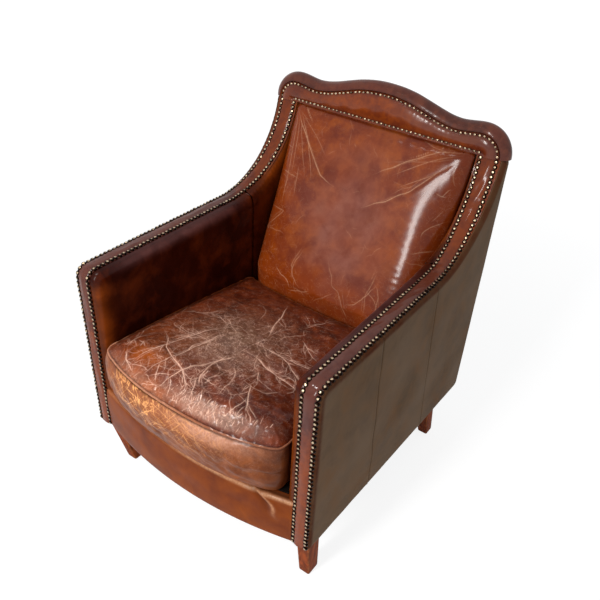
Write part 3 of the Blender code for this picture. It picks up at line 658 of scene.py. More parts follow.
@dataclass(frozen=True)
class WaxedCowhide:
    """Aniline cowhide finished with wax: glossy, mottled, and paler wherever it is bent.

    The wax gives the eye a soft sheen over warm brown that turns orange where it is thin.
    Folds stretch the dye apart and show as fine tan lines, and rubbed places go tan and dull.
    """

    name: str
    deep: str            # dye in unworn hollows; at 0.35 of its level also the colour of the painted shade
    face: str            # the open surface
    warm: str            # where the wax is thin and the hide glows
    bloom: str           # dried wax, also the colour of a painted sheen
    rub: str             # bare tan hide
    scar: str            # stretched fibres in a crease; on seat, boxing and rail also a painted highlight
    roughness: float = 0.36
    specular: float = 0.02   # low: the gloss is in the wax coat, over an open pored hide
    coat: float = 0.50
    coat_roughness: float = 0.20
    mottle_mm: float = 95.0
    patch_mm: float = 22.0
    fleck_mm: float = 5.0    # specks that break up creases and scratches
    hair_mm: float = 26.0    # spacing of fine creases
    grain_mm: float = 2.4    # pores, drawn about twice as coarse as real so that they show
    patch_detail: float = 3.0
    scratch: str = "#e0a468"
    hatch_turns: tuple[float, ...] = (56.0, -48.0, 12.0)         # degrees, seen from the front
    hatch_mm: tuple[float, float, float] = (95.0, 70.0, 11.0)    # long, deep and close spacing

    def build(self) -> Material:
        """Make the material."""
        material, tree = new_material(self.name)
        spot = add_node(tree, "TexCoord").outputs["Object"]
        marks = {mark: add_node(tree, "Attribute", {"attribute_name": mark.value}).outputs["Fac"]
                 for mark in Mark}
        broad = add_node(tree, "TexNoise", inputs={
            "Vector": spot, "Scale": per_metre(self.mottle_mm), "Detail": 4.0, "Roughness": 0.6,
            "Distortion": 0.6}).outputs["Fac"]
        patch = add_node(tree, "TexNoise", inputs={
            "Vector": spot, "Scale": per_metre(self.patch_mm), "Detail": self.patch_detail,
            "Roughness": 0.60, "Distortion": 0.3}).outputs["Fac"]
        fine = add_node(tree, "TexNoise", inputs={
            "Vector": spot, "Scale": per_metre(self.fleck_mm), "Detail": 3.0,
            "Roughness": 0.6}).outputs["Fac"]
        colour = self._colour(tree, broad, patch, fine, marks)
        hair = self._hair(tree, spot, fine, marks)
        colour = blend(tree, hair, colour, linear(self.scar))
        colour = blend(tree, self._hatch(tree, spot, patch, marks), colour, linear(self.scratch))
        # Painted shade: where the shade mark is set the colour darkens towards the deep dye at 0.35 of its
        # level.
        depth = add_node(tree, "Math", {"operation": "MULTIPLY"}, {0: marks[Mark.GRIME], 1: 0.85})
        colour = blend(tree, depth.outputs[0], colour, linear(self.deep, 0.35))
        self._shade(tree, spot, patch, hair, marks, colour)
        return material

    def _colour(self, tree: Tree, broad: Socket, patch: Socket, fine: Socket,
                marks: dict[Mark, Socket]) -> Socket:
        """Dye, thin wax, bloom, rubbed hide and creases, laid one over the other; the bloom and crease marks
        also lay on painted sheen and painted highlights.
        """
        low = add_node(tree, "MapRange", inputs={
            "Value": broad, "From Min": 0.36, "From Max": 0.62}).outputs[0]
        colour = blend(tree, low, linear(self.deep), linear(self.face))
        thin = add_node(tree, "MapRange", inputs={
            "Value": patch, "From Min": 0.46, "From Max": 0.74, "To Max": 0.75}).outputs[0]
        colour = blend(tree, thin, colour, linear(self.warm))
        thick = add_node(tree, "MapRange", inputs={
            "Value": patch, "From Min": 0.26, "From Max": 0.48, "To Min": 0.40, "To Max": 0.0}).outputs[0]
        colour = blend(tree, thick, colour, linear(self.deep, 0.72))
        broken = add_node(tree, "MapRange", inputs={
            "Value": patch, "From Min": 0.30, "From Max": 0.62, "To Min": 0.45}).outputs[0]
        speckle = add_node(tree, "MapRange", inputs={
            "Value": fine, "From Min": 0.35, "From Max": 0.60, "To Min": 0.55}).outputs[0]
        for mark, code, by in ((Mark.BLOOM, self.bloom, broken), (Mark.RUB, self.rub, broken),
                               (Mark.SCAR, self.scar, speckle)):
            share = add_node(tree, "Math", {"operation": "MULTIPLY"}, {0: marks[mark], 1: by})
            colour = blend(tree, share.outputs[0], colour, linear(code))
        return colour

    def _hair(self, tree: Tree, spot: Socket, fine: Socket,
              marks: dict[Mark, Socket]) -> Socket:
        """Net of fine creases: edges of strongly bent cells, broken up, thick where marked."""
        total = None
        for size, bend_mm, width in ((self.hair_mm, 9.0, 0.030), (0.45 * self.hair_mm, 5.0, 0.045)):
            bend = add_node(tree, "TexNoise", inputs={
                "Vector": spot, "Scale": per_metre(0.8 * size), "Detail": 3.0}).outputs["Color"]
            centred = add_node(tree, "VectorMath", {"operation": "SUBTRACT"}, {
                0: bend, 1: (0.5, 0.5, 0.5)}).outputs[0]
            bent = add_node(tree, "VectorMath", {"operation": "MULTIPLY_ADD"}, {
                0: centred, 1: (4 * bend_mm * MM,) * 3, 2: spot}).outputs[0]
            edge = add_node(tree, "TexVoronoi", {"feature": "DISTANCE_TO_EDGE"}, {
                "Vector": bent, "Scale": per_metre(size)}).outputs["Distance"]
            line = add_node(tree, "MapRange", inputs={
                "Value": edge, "From Min": 0.0, "From Max": width,
                "To Min": 1.0, "To Max": 0.0}).outputs[0]
            broken = add_node(tree, "TexNoise", inputs={
                "Vector": spot, "Scale": per_metre(1.1 * size), "Detail": 2.0}).outputs["Fac"]
            part = add_node(tree, "MapRange", inputs={
                "Value": broken, "From Min": 0.44, "From Max": 0.62}).outputs[0]
            piece = add_node(tree, "Math", {"operation": "MULTIPLY"}, {0: line, 1: part}).outputs[0]
            total = piece if total is None else add_node(
                tree, "Math", {"operation": "MAXIMUM"}, {0: total, 1: piece}).outputs[0]
        dense = add_node(tree, "Math", {"operation": "MULTIPLY", "use_clamp": True}, {
            0: total, 1: marks[Mark.CRACKLE]}).outputs[0]
        strong = add_node(tree, "Math", {"operation": "MULTIPLY_ADD"}, {0: fine, 1: 0.9, 2: 0.35})
        return add_node(tree, "Math", {"operation": "MULTIPLY", "use_clamp": True}, {
            0: dense, 1: strong.outputs[0]}).outputs[0]

    def _hatch(self, tree: Tree, spot: Socket, patch: Socket, marks: dict[Mark, Socket]) -> Socket:
        """Long thin scratches crossing at several angles, in broken patches where marked."""
        total = None
        for turn in self.hatch_turns:
            drawn = add_node(tree, "Mapping", {"vector_type": "TEXTURE"}, {
                "Vector": spot, "Rotation": (0.0, math.radians(turn), 0.0),
                "Scale": tuple(size * MM for size in self.hatch_mm)}).outputs[0]
            wave = add_node(tree, "TexNoise", inputs={
                "Vector": drawn, "Scale": 1.0, "Detail": 1.0, "Distortion": 0.35}).outputs["Fac"]
            level = add_node(tree, "Math", {"operation": "SUBTRACT"}, {0: wave, 1: 0.5}).outputs[0]
            away = add_node(tree, "Math", {"operation": "ABSOLUTE"}, {0: level}).outputs[0]
            line = add_node(tree, "MapRange", inputs={
                "Value": away, "From Min": 0.004, "From Max": 0.024,
                "To Min": 1.0, "To Max": 0.0}).outputs[0]
            total = line if total is None else add_node(
                tree, "Math", {"operation": "MAXIMUM"}, {0: total, 1: line}).outputs[0]
        part = add_node(tree, "MapRange", inputs={
            "Value": patch, "From Min": 0.36, "From Max": 0.50, "To Min": 0.25}).outputs[0]
        piece = add_node(tree, "Math", {"operation": "MULTIPLY"}, {0: total, 1: part}).outputs[0]
        return add_node(tree, "Math", {"operation": "MULTIPLY", "use_clamp": True}, {
            0: piece, 1: marks[Mark.HATCH]}).outputs[0]

    def _shade(self, tree: Tree, spot: Socket, patch: Socket, hair: Socket,
               marks: dict[Mark, Socket], colour: Socket) -> None:
        """Pores and creases as bump, dull where rubbed, under a thin coat of wax."""
        pores = add_node(tree, "TexVoronoi", inputs={
            "Vector": spot, "Scale": per_metre(self.grain_mm)})
        swell = add_node(tree, "Bump", inputs={
            "Strength": 0.35, "Distance": 1.2 * MM, "Height": patch})
        grain = add_node(tree, "Bump", inputs={
            "Strength": 0.22, "Distance": 0.25 * MM, "Height": pores.outputs["Distance"],
            "Normal": swell.outputs[0]})
        creased = add_node(tree, "Bump", {"invert": True}, {
            "Strength": 0.45, "Distance": 0.5 * MM, "Height": hair, "Normal": grain.outputs[0]})
        dull = add_node(tree, "MapRange", inputs={
            "Value": patch, "From Min": 0.3, "From Max": 0.7,
            "To Min": self.roughness - 0.05, "To Max": self.roughness + 0.08}).outputs[0]
        worn = add_node(tree, "Math", {"operation": "MAXIMUM"}, {
            0: marks[Mark.RUB], 1: marks[Mark.SCAR]}).outputs[0]
        rough = add_node(tree, "Math", {"operation": "MULTIPLY_ADD", "use_clamp": True}, {
            0: worn, 1: 0.16, 2: dull}).outputs[0]
        shader = add_node(tree, "BsdfPrincipled", inputs={
            "Base Color": colour, "Roughness": rough, "Normal": creased.outputs[0],
            "IOR": 1.5, "Specular IOR Level": self.specular, "Coat Weight": self.coat,
            "Coat Roughness": self.coat_roughness, "Coat IOR": 1.35})
        add_node(tree, "OutputMaterial", inputs={"Surface": shader.outputs[0]})


@dataclass(frozen=True)
class AntiquedBrass:
    """Steel-cored brass nail heads, blackened then polished: bright crowns in dark rims."""

    name: str = "antiqued_brass_nails"
    rim: str = "#0a0504"
    body: str = "#1a0f09"
    crown: str = "#c8b294"
    roughness: float = 0.34

    def build(self) -> Material:
        """Make the material, which reads the crown mark of each head."""
        material, tree = new_material(self.name)
        spot = add_node(tree, "TexCoord").outputs["Object"]
        crown = add_node(tree, "Attribute", {"attribute_name": "crown"}).outputs["Fac"]
        tarnish = add_node(tree, "TexNoise", inputs={
            "Vector": spot, "Scale": per_metre(9.0), "Detail": 3.0}).outputs["Fac"]
        lit = add_node(tree, "Math", {"operation": "MULTIPLY_ADD"}, {0: tarnish, 1: 0.5, 2: -0.25})
        height = add_node(tree, "Math", {"operation": "ADD"}, {0: crown, 1: lit.outputs[0]})
        low = add_node(tree, "MapRange", inputs={
            "Value": height.outputs[0], "From Min": 0.15, "From Max": 0.62}).outputs[0]
        high = add_node(tree, "MapRange", inputs={
            "Value": height.outputs[0], "From Min": 0.85, "From Max": 0.985}).outputs[0]
        colour = blend(tree, low, linear(self.rim), linear(self.body))
        colour = blend(tree, high, colour, linear(self.crown))
        shader = add_node(tree, "BsdfPrincipled", inputs={
            "Base Color": colour, "Metallic": 1.0, "Roughness": self.roughness})
        add_node(tree, "OutputMaterial", inputs={"Surface": shader.outputs[0]})
        return material


class Grain(Enum):
    """The chair's long directions that wood can run in."""

    ALONG_X = (0.08, 1.0, 1.0)
    ALONG_Y = (1.0, 0.08, 1.0)
    UPRIGHT = (1.0, 1.0, 0.08)


@dataclass(frozen=True)
class SawnHardwood:
    """Close-grained wood, drawn as stretched growth rings with fine pores.

    Sawn beech inside the frame is pale and matt; stained and varnished legs are dark,
    glossy, and lighter where shoes have rubbed the edges.
    """

    name: str
    late: str
    early: str
    worn: str
    grain: Grain
    roughness: float
    coat: float = 0.0
    ring_mm: float = 6.0

    def build(self) -> Material:
        """Make the material."""
        material, tree = new_material(self.name)
        spot = add_node(tree, "TexCoord").outputs["Object"]
        drawn = add_node(tree, "Mapping", inputs={"Vector": spot, "Scale": self.grain.value})
        rings = add_node(tree, "TexNoise", inputs={
            "Vector": drawn.outputs[0], "Scale": per_metre(self.ring_mm * 2), "Detail": 4.0,
            "Distortion": 0.8}).outputs["Fac"]
        pores = add_node(tree, "TexNoise", inputs={
            "Vector": drawn.outputs[0], "Scale": per_metre(1.6), "Detail": 2.0}).outputs["Fac"]
        patch = add_node(tree, "TexNoise", inputs={
            "Vector": spot, "Scale": per_metre(24.0), "Detail": 5.0, "Roughness": 0.7}).outputs["Fac"]
        tone = add_node(tree, "MapRange", inputs={
            "Value": rings, "From Min": 0.35, "From Max": 0.65}).outputs[0]
        colour = blend(tree, tone, linear(self.late), linear(self.early))
        rubbed = add_node(tree, "Attribute", {"attribute_name": Mark.RUB.value}).outputs["Fac"]
        chipped = add_node(tree, "MapRange", inputs={
            "Value": patch, "From Min": 0.40, "From Max": 0.60, "To Min": 0.2}).outputs[0]
        share = add_node(tree, "Math", {"operation": "MULTIPLY"}, {0: rubbed, 1: chipped})
        colour = blend(tree, share.outputs[0], colour, linear(self.worn))
        raised = add_node(tree, "Bump", inputs={
            "Strength": 0.3, "Distance": 0.3 * MM, "Height": pores})
        shader = add_node(tree, "BsdfPrincipled", inputs={
            "Base Color": colour, "Roughness": self.roughness, "Normal": raised.outputs[0],
            "Specular IOR Level": 0.02, "Coat Weight": self.coat, "Coat Roughness": 0.2,
            "Coat IOR": 1.3})
        add_node(tree, "OutputMaterial", inputs={"Surface": shader.outputs[0]})
        return material


WAVE_TURN = 6.28    # a wave texture repeats this many times in one unit


@dataclass(frozen=True)
class WovenCloth:
    """Plain-woven jute or cotton: matt crossing threads."""

    name: str
    thread: str
    gap: str
    thread_mm: float

    def build(self) -> Material:
        """Make the material from two crossed sets of threads."""
        material, tree = new_material(self.name)
        spot = add_node(tree, "TexCoord").outputs["Object"]
        height = None
        for way in ("X", "Z" if self.thread_mm > 2 else "Y"):
            wave = add_node(tree, "TexWave", {"wave_type": "BANDS", "bands_direction": way}, {
                "Vector": spot, "Scale": per_metre(self.thread_mm) / WAVE_TURN, "Distortion": 1.5,
                "Detail": 2.0}).outputs["Fac"]
            height = wave if height is None else add_node(
                tree, "Math", {"operation": "MULTIPLY"}, {0: height, 1: wave}).outputs[0]
        colour = blend(tree, height, linear(self.gap), linear(self.thread))
        raised = add_node(tree, "Bump", inputs={
            "Strength": 0.6, "Distance": 0.5 * MM, "Height": height})
        shader = add_node(tree, "BsdfPrincipled", inputs={
            "Base Color": colour, "Roughness": 0.92, "Normal": raised.outputs[0],
            "Specular IOR Level": 0.05})
        add_node(tree, "OutputMaterial", inputs={"Surface": shader.outputs[0]})
        return material


@dataclass(frozen=True)
class SpringWire:
    """Hard-drawn steel wire, grey with a little brown storage rust."""

    name: str = "drawn_spring_wire"

    def build(self) -> Material:
        """Make the material."""
        material, tree = new_material(self.name)
        spot = add_node(tree, "TexCoord").outputs["Object"]
        patch = add_node(tree, "TexNoise", inputs={
            "Vector": spot, "Scale": per_metre(14.0), "Detail": 6.0, "Roughness": 0.7}).outputs["Fac"]
        rust = add_node(tree, "MapRange", inputs={
            "Value": patch, "From Min": 0.55, "From Max": 0.70}).outputs[0]
        colour = blend(tree, rust, linear("#8b8c8e"), linear("#5a3a26"))
        metal = add_node(tree, "MapRange", inputs={
            "Value": rust, "To Min": 1.0, "To Max": 0.2}).outputs[0]
        shader = add_node(tree, "BsdfPrincipled", inputs={
            "Base Color": colour, "Metallic": metal, "Roughness": 0.42})
        add_node(tree, "OutputMaterial", inputs={"Surface": shader.outputs[0]})
        return material


class Finishes:
    """Every finish on the chair, made once."""

    def __init__(self) -> None:
        """Make the materials."""
        self.band = WaxedCowhide(
            "band_cowhide", deep="#4c1d12", face="#6c3018", warm="#80390f", bloom="#4c2f2b",
            rub="#7c360c", scar="#c9926e", roughness=0.34, coat=0.66, coat_roughness=0.15).build()
        self.crest = WaxedCowhide(
            "crest_cowhide", deep="#5c2314", face="#7c381a", warm="#904310", bloom="#5b3a34",
            rub="#904010", scar="#c9926e", coat=0.95, coat_roughness=0.17,
            mottle_mm=140.0).build()
        self.border = WaxedCowhide(
            "border_cowhide", deep="#43190f", face="#63291a", warm="#783515", bloom="#5b4038",
            rub="#8e4c20", scar="#b98262", coat=0.66, coat_roughness=0.15,
            mottle_mm=110.0).build()
        # Grey-brown colours: the brown hide with a grey sky reflection painted into it.
        self.side = WaxedCowhide(
            "side_cowhide", deep="#5a432c", face="#6e543c", warm="#765336", bloom="#715c48",
            rub="#552a18", scar="#9d8468", roughness=0.55, coat=0.05,
            coat_roughness=0.35, mottle_mm=180.0, patch_mm=46.0).build()
        # Near-black colours, darker than the other covers: painted shade inside the arms and wings.
        self.arm = WaxedCowhide(
            "arm_cowhide", deep="#2a0702", face="#3d1206", warm="#66270a", bloom="#5c3836",
            rub="#a24c12", scar="#b07450", roughness=0.38, coat=0.24, mottle_mm=150.0,
            patch_mm=60.0).build()
        self.back = WaxedCowhide(
            "back_cowhide", deep="#652410", face="#803715", warm="#9d4c08", bloom="#845044",
            rub="#7c2f05", scar="#dcaa84", coat=0.6, coat_roughness=0.15,
            mottle_mm=90.0, patch_mm=38.0).build()
        self.seat = WaxedCowhide(
            "seat_cowhide", deep="#401307", face="#5f230f", warm="#7d3511", bloom="#70503f",
            rub="#9a4b18", scar="#ecc1aa", roughness=0.34, coat=0.55, coat_roughness=0.18,
            mottle_mm=70.0, patch_mm=24.0, hair_mm=19.0, patch_detail=5.0).build()
        self.boxing = WaxedCowhide(
            "boxing_cowhide", deep="#582610", face="#763b1c", warm="#8a481e", bloom="#775141",
            rub="#a3613a", scar="#e9bba4", roughness=0.38, coat=0.28, coat_roughness=0.17,
            mottle_mm=80.0, patch_mm=30.0, hair_mm=15.0, patch_detail=4.0, scratch="#e8a568").build()
        self.rail = WaxedCowhide(
            "rail_cowhide", deep="#642a0b", face="#77360e", warm="#86400b", bloom="#7c4a34",
            rub="#a8602c", scar="#d9a67e", roughness=0.40, coat=0.18,
            mottle_mm=120.0, patch_mm=55.0).build()
        self.nails = AntiquedBrass().build()
        self.beech = {
            way: SawnHardwood(f"sawn_beech_{way.name.lower()}", late="#a97b4f", early="#c79a6a",
                              worn="#c79a6a", grain=way, roughness=0.62).build()
            for way in Grain}
        self.leg = SawnHardwood(
            "stained_leg_wood", late="#5c2410", early="#8f421e", worn="#9b663e",
            grain=Grain.UPRIGHT, roughness=0.6, coat=0.03, ring_mm=4.0).build()
        self.jute = WovenCloth("jute_webbing", "#b39a6b", "#7a6440", 3.0).build()
        self.cambric = WovenCloth("black_cambric", "#1f1815", "#0e0a09", 1.5).build()
        self.wire = SpringWire().build()


# ---------------------------------------------------------------- nail heads
NAIL_SET = 0.0004    # how far a head's middle is set into the leather


@dataclass
class NailRow:
    """One run of nail heads: where each stands and which way it faces."""

    name: str
    centres: Array
    normals: Array
    radius: float = 0.00585
    height: float = 0.0038
    sides: int = 10

    def shape(self, seed: int) -> Shape:
        """All the heads of the row, each a closed dome, slightly unevenly driven."""
        rng = np.random.default_rng(seed)
        levels = ((1.0, -0.25), (1.0, 0.02), (0.93, 0.36), (0.74, 0.70), (0.44, 0.93), (0.15, 1.0))
        turn = np.linspace(0, 2 * math.pi, self.sides, endpoint=False)
        shapes = []
        for centre, normal in zip(self.centres, self.normals):
            up = normal + rng.normal(size=3) * 0.07
            up /= np.linalg.norm(up)
            across = np.cross(up, (0.31, 0.2, 0.93))
            across /= np.linalg.norm(across)
            over = np.cross(up, across)
            size = self.radius * rng.uniform(0.95, 1.03)
            rise = self.height * rng.uniform(0.9, 1.08)
            centre = centre + (across * rng.normal() + over * rng.normal()) * 0.00035
            rings = np.array([centre + size * draw * (np.cos(turn)[:, None] * across
                                                      + np.sin(turn)[:, None] * over)
                              + up * rise * lift for draw, lift in levels])
            head = ring_loft(rings)
            head.marks["crown"] = np.repeat([max(0.0, lift) ** 1.2 for _, lift in levels], self.sides)
            shapes.append(head)
        return join(shapes)


# ---------------------------------------------------------------- nailed arm band
@dataclass
class NailedBand:
    """The leather band from the arm's foot over the top and up the sweep, with two nail rows."""

    word: str
    side: int
    puff: float = 0.0030        # rise of the band between its rows
    sink: float = 0.0010        # how deep the nails draw the leather in
    gather: float = 0.0008      # height of the gathers between nails
    station_step: float = 0.003
    piping_r: float = 0.0026

    def length(self) -> float:
        """Length of the nailed face from its foot to the seam at the ear."""
        s = SIZES
        rise = s.arm_top - s.corner_r - s.hem
        turn = math.acos((s.arm_top + s.sweep_r - s.seam_z) / s.sweep_r)
        return rise + s.corner_r * math.pi / 2 + s.arm_length - s.corner_r + turn * s.sweep_r

    def stations(self, where: Array) -> tuple[Array, Array]:
        """Points (y, z) and outward normals on the nailed face at distances from its foot."""
        s = SIZES
        rise = s.arm_top - s.corner_r - s.hem
        bend = s.corner_r * math.pi / 2
        top = s.arm_length - s.corner_r
        points, normals = [], []
        for d in where:
            if d < rise:
                point, normal = (0.0, s.hem + d), (-1.0, 0.0)
            elif d < rise + bend:
                a = math.pi - (d - rise) / s.corner_r
                normal = (math.cos(a), math.sin(a))
                point = (s.corner_r + normal[0] * s.corner_r,
                         s.arm_top - s.corner_r + normal[1] * s.corner_r)
            elif d < rise + bend + top:
                point, normal = (s.corner_r + d - rise - bend, s.arm_top), (0.0, 1.0)
            else:
                a = (d - rise - bend - top) / s.sweep_r
                normal = (-math.sin(a), math.cos(a))
                point = (s.arm_length - normal[0] * s.sweep_r,
                         s.arm_top + s.sweep_r - normal[1] * s.sweep_r)
            points.append(point)
            normals.append(normal)
        return np.array(points), np.array(normals)

    def pitch(self) -> float:
        """Nail spacing that fits a whole number of nails."""
        return self.length() / round(self.length() / SIZES.nail_pitch)

    def shape(self) -> Shape:
        """The band with its puffed middle and gathered edges."""
        steps = round(self.length() / self.station_step)
        where = np.linspace(0, self.length(), steps + 1)
        spots, normals = self.stations(where)
        inner, outer = SIZES.rows_at(spots[:, 0])
        low = inner - SIZES.nail_half
        high = np.full_like(low, SIZES.frame_out)
        across = np.linspace(0, 1, 23)
        x = low[:, None] + (high - low)[:, None] * across[None]
        share = (x - inner[:, None]) / (outer - inner)[:, None]
        field_rise = self.puff * np.sin(math.pi * np.clip(share, 0, 1)) ** 0.75
        away = np.minimum(abs(x - inner[:, None]), abs(x - outer[:, None]))
        field_rise -= self.sink * bell(away, 0.003)
        s_along = np.repeat(where[:, None], len(across), axis=1)
        seed = 10 + self.side
        folds = gathers(s_along.ravel(), away.ravel(), self.pitch(), 0.0065, seed).reshape(x.shape)
        field_rise += self.gather * folds
        drift = ripple(np.column_stack((s_along.ravel(), 3 * x.ravel())), 0.055, seed + 5)
        field_rise += 0.0006 * drift.reshape(x.shape) * np.sin(math.pi * np.clip(share, 0, 1))
        rings = np.zeros((len(where), len(across) + 2, 3))
        rings[:, :-2, 0] = self.side * x
        for k in (0, 1):
            rings[:, :-2, 1 + k] = spots[:, k][:, None] + normals[:, k][:, None] * field_rise
            rings[:, -2:, 1 + k] = (spots[:, k] - normals[:, k] * SIZES.band_thick)[:, None]
        rings[:, -2, 0] = self.side * high
        rings[:, -1, 0] = self.side * low
        shape = ring_loft(rings)
        self._mark(shape, spots, x, away, folds)
        return shape

    def piping(self) -> Shape:
        """The rolled edge that shows beside the inner nails, from the arm's rear up to the crest."""
        where = np.linspace(SIZES.arm_top + 0.40, self.length() - 0.001, 150)
        spots, normals = self.stations(where)
        thin = smooth(where[0], where[0] + 0.05, where)
        reach = SIZES.rows_at(spots[:, 0])[0] - SIZES.nail_half - 0.0030 * thin
        down = spots - normals * mix(0.0060, 0.0010, thin)[:, None]
        line = np.column_stack((self.side * reach, down))
        ahead = along_line(line)
        across = np.cross(ahead, (0.13, 0.05, 1.0))
        across /= np.linalg.norm(across, axis=1)[:, None]
        shape = cord(line, ahead, across, self.piping_r)
        shape.mark(Mark.RUB, np.full(len(shape.points), 0.35))
        return shape

    def _mark(self, shape: Shape, spots: Array, x: Array, away: Array, folds: Array) -> None:
        """Rub the sweep and the front foot orange, lay wax bloom with a painted sheen on the arm's top, and
        paint shade along the nail lines.
        """
        def full(values: Array) -> Array:
            wide = np.zeros((values.shape[0], values.shape[1] + 2))
            wide[:, :-2] = values
            return wide.ravel()

        y = np.repeat(spots[:, :1], x.shape[1], axis=1)
        z = np.repeat(spots[:, 1:], x.shape[1], axis=1)
        wing = smooth(0.50, 0.60, y)
        foot = smooth(0.52, 0.34, z) * (y < 0.02)
        shape.mark(Mark.RUB, full(0.42 * wing + 0.62 * foot))
        # Wax bloom with a painted sheen on the arm's top and the upper front.
        shape.mark(Mark.BLOOM, full(0.75 * smooth(0.58, 0.40, y) * smooth(0.43, 0.57, z)))
        # Painted shade beside the nail rows, less on the gathers.
        shape.mark(Mark.GRIME, full(0.5 * bell(away, 0.0046) * (1 - 0.7 * folds)))

    def nails(self) -> list[NailRow]:
        """The inner and the outer row of heads."""
        pitch = self.pitch()
        count = round(self.length() / pitch)
        spots, normals = self.stations((np.arange(count) + 0.5) * pitch)
        rows = []
        for word, reach in zip(("inner", "outer"), SIZES.rows_at(spots[:, 0])):
            centres = np.column_stack((self.side * reach, spots[:, 0], spots[:, 1]))
            facing = np.column_stack((np.zeros(count), normals[:, 0], normals[:, 1]))
            rows.append(NailRow(f"{self.word}_{word}_nails", centres - NAIL_SET * facing, facing))
        return rows


# ---------------------------------------------------------------- crest
@dataclass
class Crest:
    """Puffed crest panel, its two nail rows and the rolled border."""

    hump_base: float = 0.864
    hump_rise: float = 0.0375
    hump_half: float = 0.204
    ear_rise: float = 0.007
    ear_r: float = 0.0447
    puff: float = 0.0135
    thick: float = 0.006
    roll_out: float = 0.0265
    gather: float = 0.0014
    spacing: float = 0.0034

    def row(self) -> Array:
        """Centre line (x, z) of the outer nail row, from the right seam to the left one."""
        s = SIZES
        top = self.hump_base + self.ear_rise
        ear_x = s.outer_row_ear - self.ear_r
        right = arc((ear_x, top - self.ear_r), self.ear_r, 0, 90, 12)
        right[0] = (s.outer_row_ear, s.seam_z + s.gap)
        x = ear_x * (1 - np.arange(1, 41) / 40)
        hump = np.cos(math.pi / 2 * np.clip(x / self.hump_half, 0, 1) ** 1.15) ** 2
        ear = np.clip((x - self.hump_half) / (ear_x - self.hump_half), 0, 1)
        z = self.hump_base + self.hump_rise * hump + self.ear_rise * ear * ear * (3 - 2 * ear)
        half = np.vstack((right, np.column_stack((x, z))))
        return np.vstack((half, half[-2::-1] * (-1, 1)))

    def pitched_row(self, per_nail: int = 1) -> tuple[Array, float]:
        """The row cut at the nail pitch, or finer, and the pitch itself."""
        row = self.row()
        length = path_lengths(row)[-1]
        count = round(length / SIZES.nail_pitch)
        return at_length(row, np.linspace(0, length, count * per_nail + 1)), length / count

    @staticmethod
    def offset(line: Array, distance: float) -> Array:
        """The row moved outwards; its two ends stay on the level seam."""
        out = beside_line(line)
        out[0] = (1, 0)
        out[-1] = (-1, 0)
        return line + out * distance

    def panel(self) -> Shape:
        """The puffed field, gathered under both rows."""
        s = SIZES
        row, pitch = self.pitched_row(3)
        foot = s.seam_z + s.gap
        rim = self.offset(row, s.nail_half)
        outline = np.vstack((rim, [(-s.outer_row_ear - s.nail_half, foot)],
                             [(s.outer_row_ear + s.nail_half, foot)]))
        panel = Panel(outline, self.spacing)
        x, z = panel.flat[:, 0], panel.flat[:, 1]
        to_row, along = nearest(panel.flat, row)
        low_line = np.array(((s.inner_row_ear, foot + s.nail_half), (-s.inner_row_ear, foot + s.nail_half)))
        to_low, low_along = nearest(panel.flat, low_line)
        height = np.maximum(to_row + to_low, 0.004)
        share = np.clip(to_low / height, 0, 1)
        rise = self.puff * np.clip(height / 0.058, 0, 1) ** 0.7 * np.sin(math.pi * share) ** 0.60
        folds_row = gathers(along, to_row, pitch, 0.0070, 31)
        folds_low = gathers(low_along, to_low, 2 * s.inner_row_ear / round(
            2 * s.inner_row_ear / s.nail_pitch), 0.0065, 33)
        rise += 0.6 * self.gather * np.maximum(folds_row, folds_low)
        near = np.minimum(to_row, to_low)
        rise -= 0.0010 * bell(near, 0.003)
        rise += 0.0009 * ripple(panel.flat, 0.06, 35) * np.sin(math.pi * share)
        front = np.column_stack((x, s.crest_face - rise, z))
        shape = panel.solid(front, lambda rim_points: np.column_stack((
            rim_points[:, 0], np.full(len(rim_points), s.crest_face + self.thick), rim_points[:, 1])))
        orange = bell(x, 0.13, -0.06) * np.sin(math.pi * share)
        shape.mark(Mark.RUB, 0.45 * orange)
        # Wax bloom with a painted sheen on the upper part of the right half.
        shape.mark(Mark.BLOOM, 0.55 * smooth(0.0, 0.13, x) * smooth(0.25, 0.6, share))
        # Painted shade beside both nail rows and towards the ends.
        shape.mark(Mark.GRIME, 0.5 * bell(near, 0.0046) + 0.22 * smooth(0.10, 0.24, abs(x - 0.02)))
        return shape

    def roll(self) -> Shape:
        """The rolled border, gathered along the nails and fuller behind."""
        s = SIZES
        front, rear = s.crest_face, s.rear_face
        root = s.nail_half + s.gap
        corners = np.array(((root, front + 0.004), (root, front - 0.0008),
                            (0.0068, front - 0.0028), (0.0086, front - 0.0031),
                            (0.0114, front - 0.0020), (0.0170, front + 0.0010),
                            (0.0225, front + 0.0072), (0.0258, front + 0.0152),
                            (self.roll_out, front + 0.0220), (0.0252, rear - 0.0060),
                            (0.0215, rear - 0.0015), (0.0150, rear), (root, rear)))
        section = resample(corners, 0.0024)
        row, pitch = self.pitched_row(4)
        run = path_lengths(row)
        rings = np.zeros((len(row), len(section), 3))
        wrinkle = ripple(np.column_stack((run, run * 0)), 0.05, 41)
        marks = np.zeros((len(row), len(section)))
        for k, (reach, depth) in enumerate(section):
            line = self.offset(row, float(reach))
            away = np.full(len(row), max(0.0, reach - 0.0035))
            folds = gathers(run, away, pitch, 0.0060, 43) * (depth < front + 0.004)
            lift = 0.45 * self.gather * folds + 0.0004 * wrinkle * math.sin(math.pi * k / len(section))
            rings[:, k, 0] = line[:, 0]
            rings[:, k, 1] = depth - lift
            rings[:, k, 2] = line[:, 1]
            marks[:, k] = math.exp(-(max(0.0, reach - 0.005) / 0.0045) ** 2) * (depth < front + 0.004)
        shape = ring_loft(rings)
        # Painted shade on the border's front beside the nails.
        shape.mark(Mark.GRIME, 0.45 * marks.ravel())
        shape.mark(Mark.BLOOM, np.full(marks.size, 0.35))
        return shape

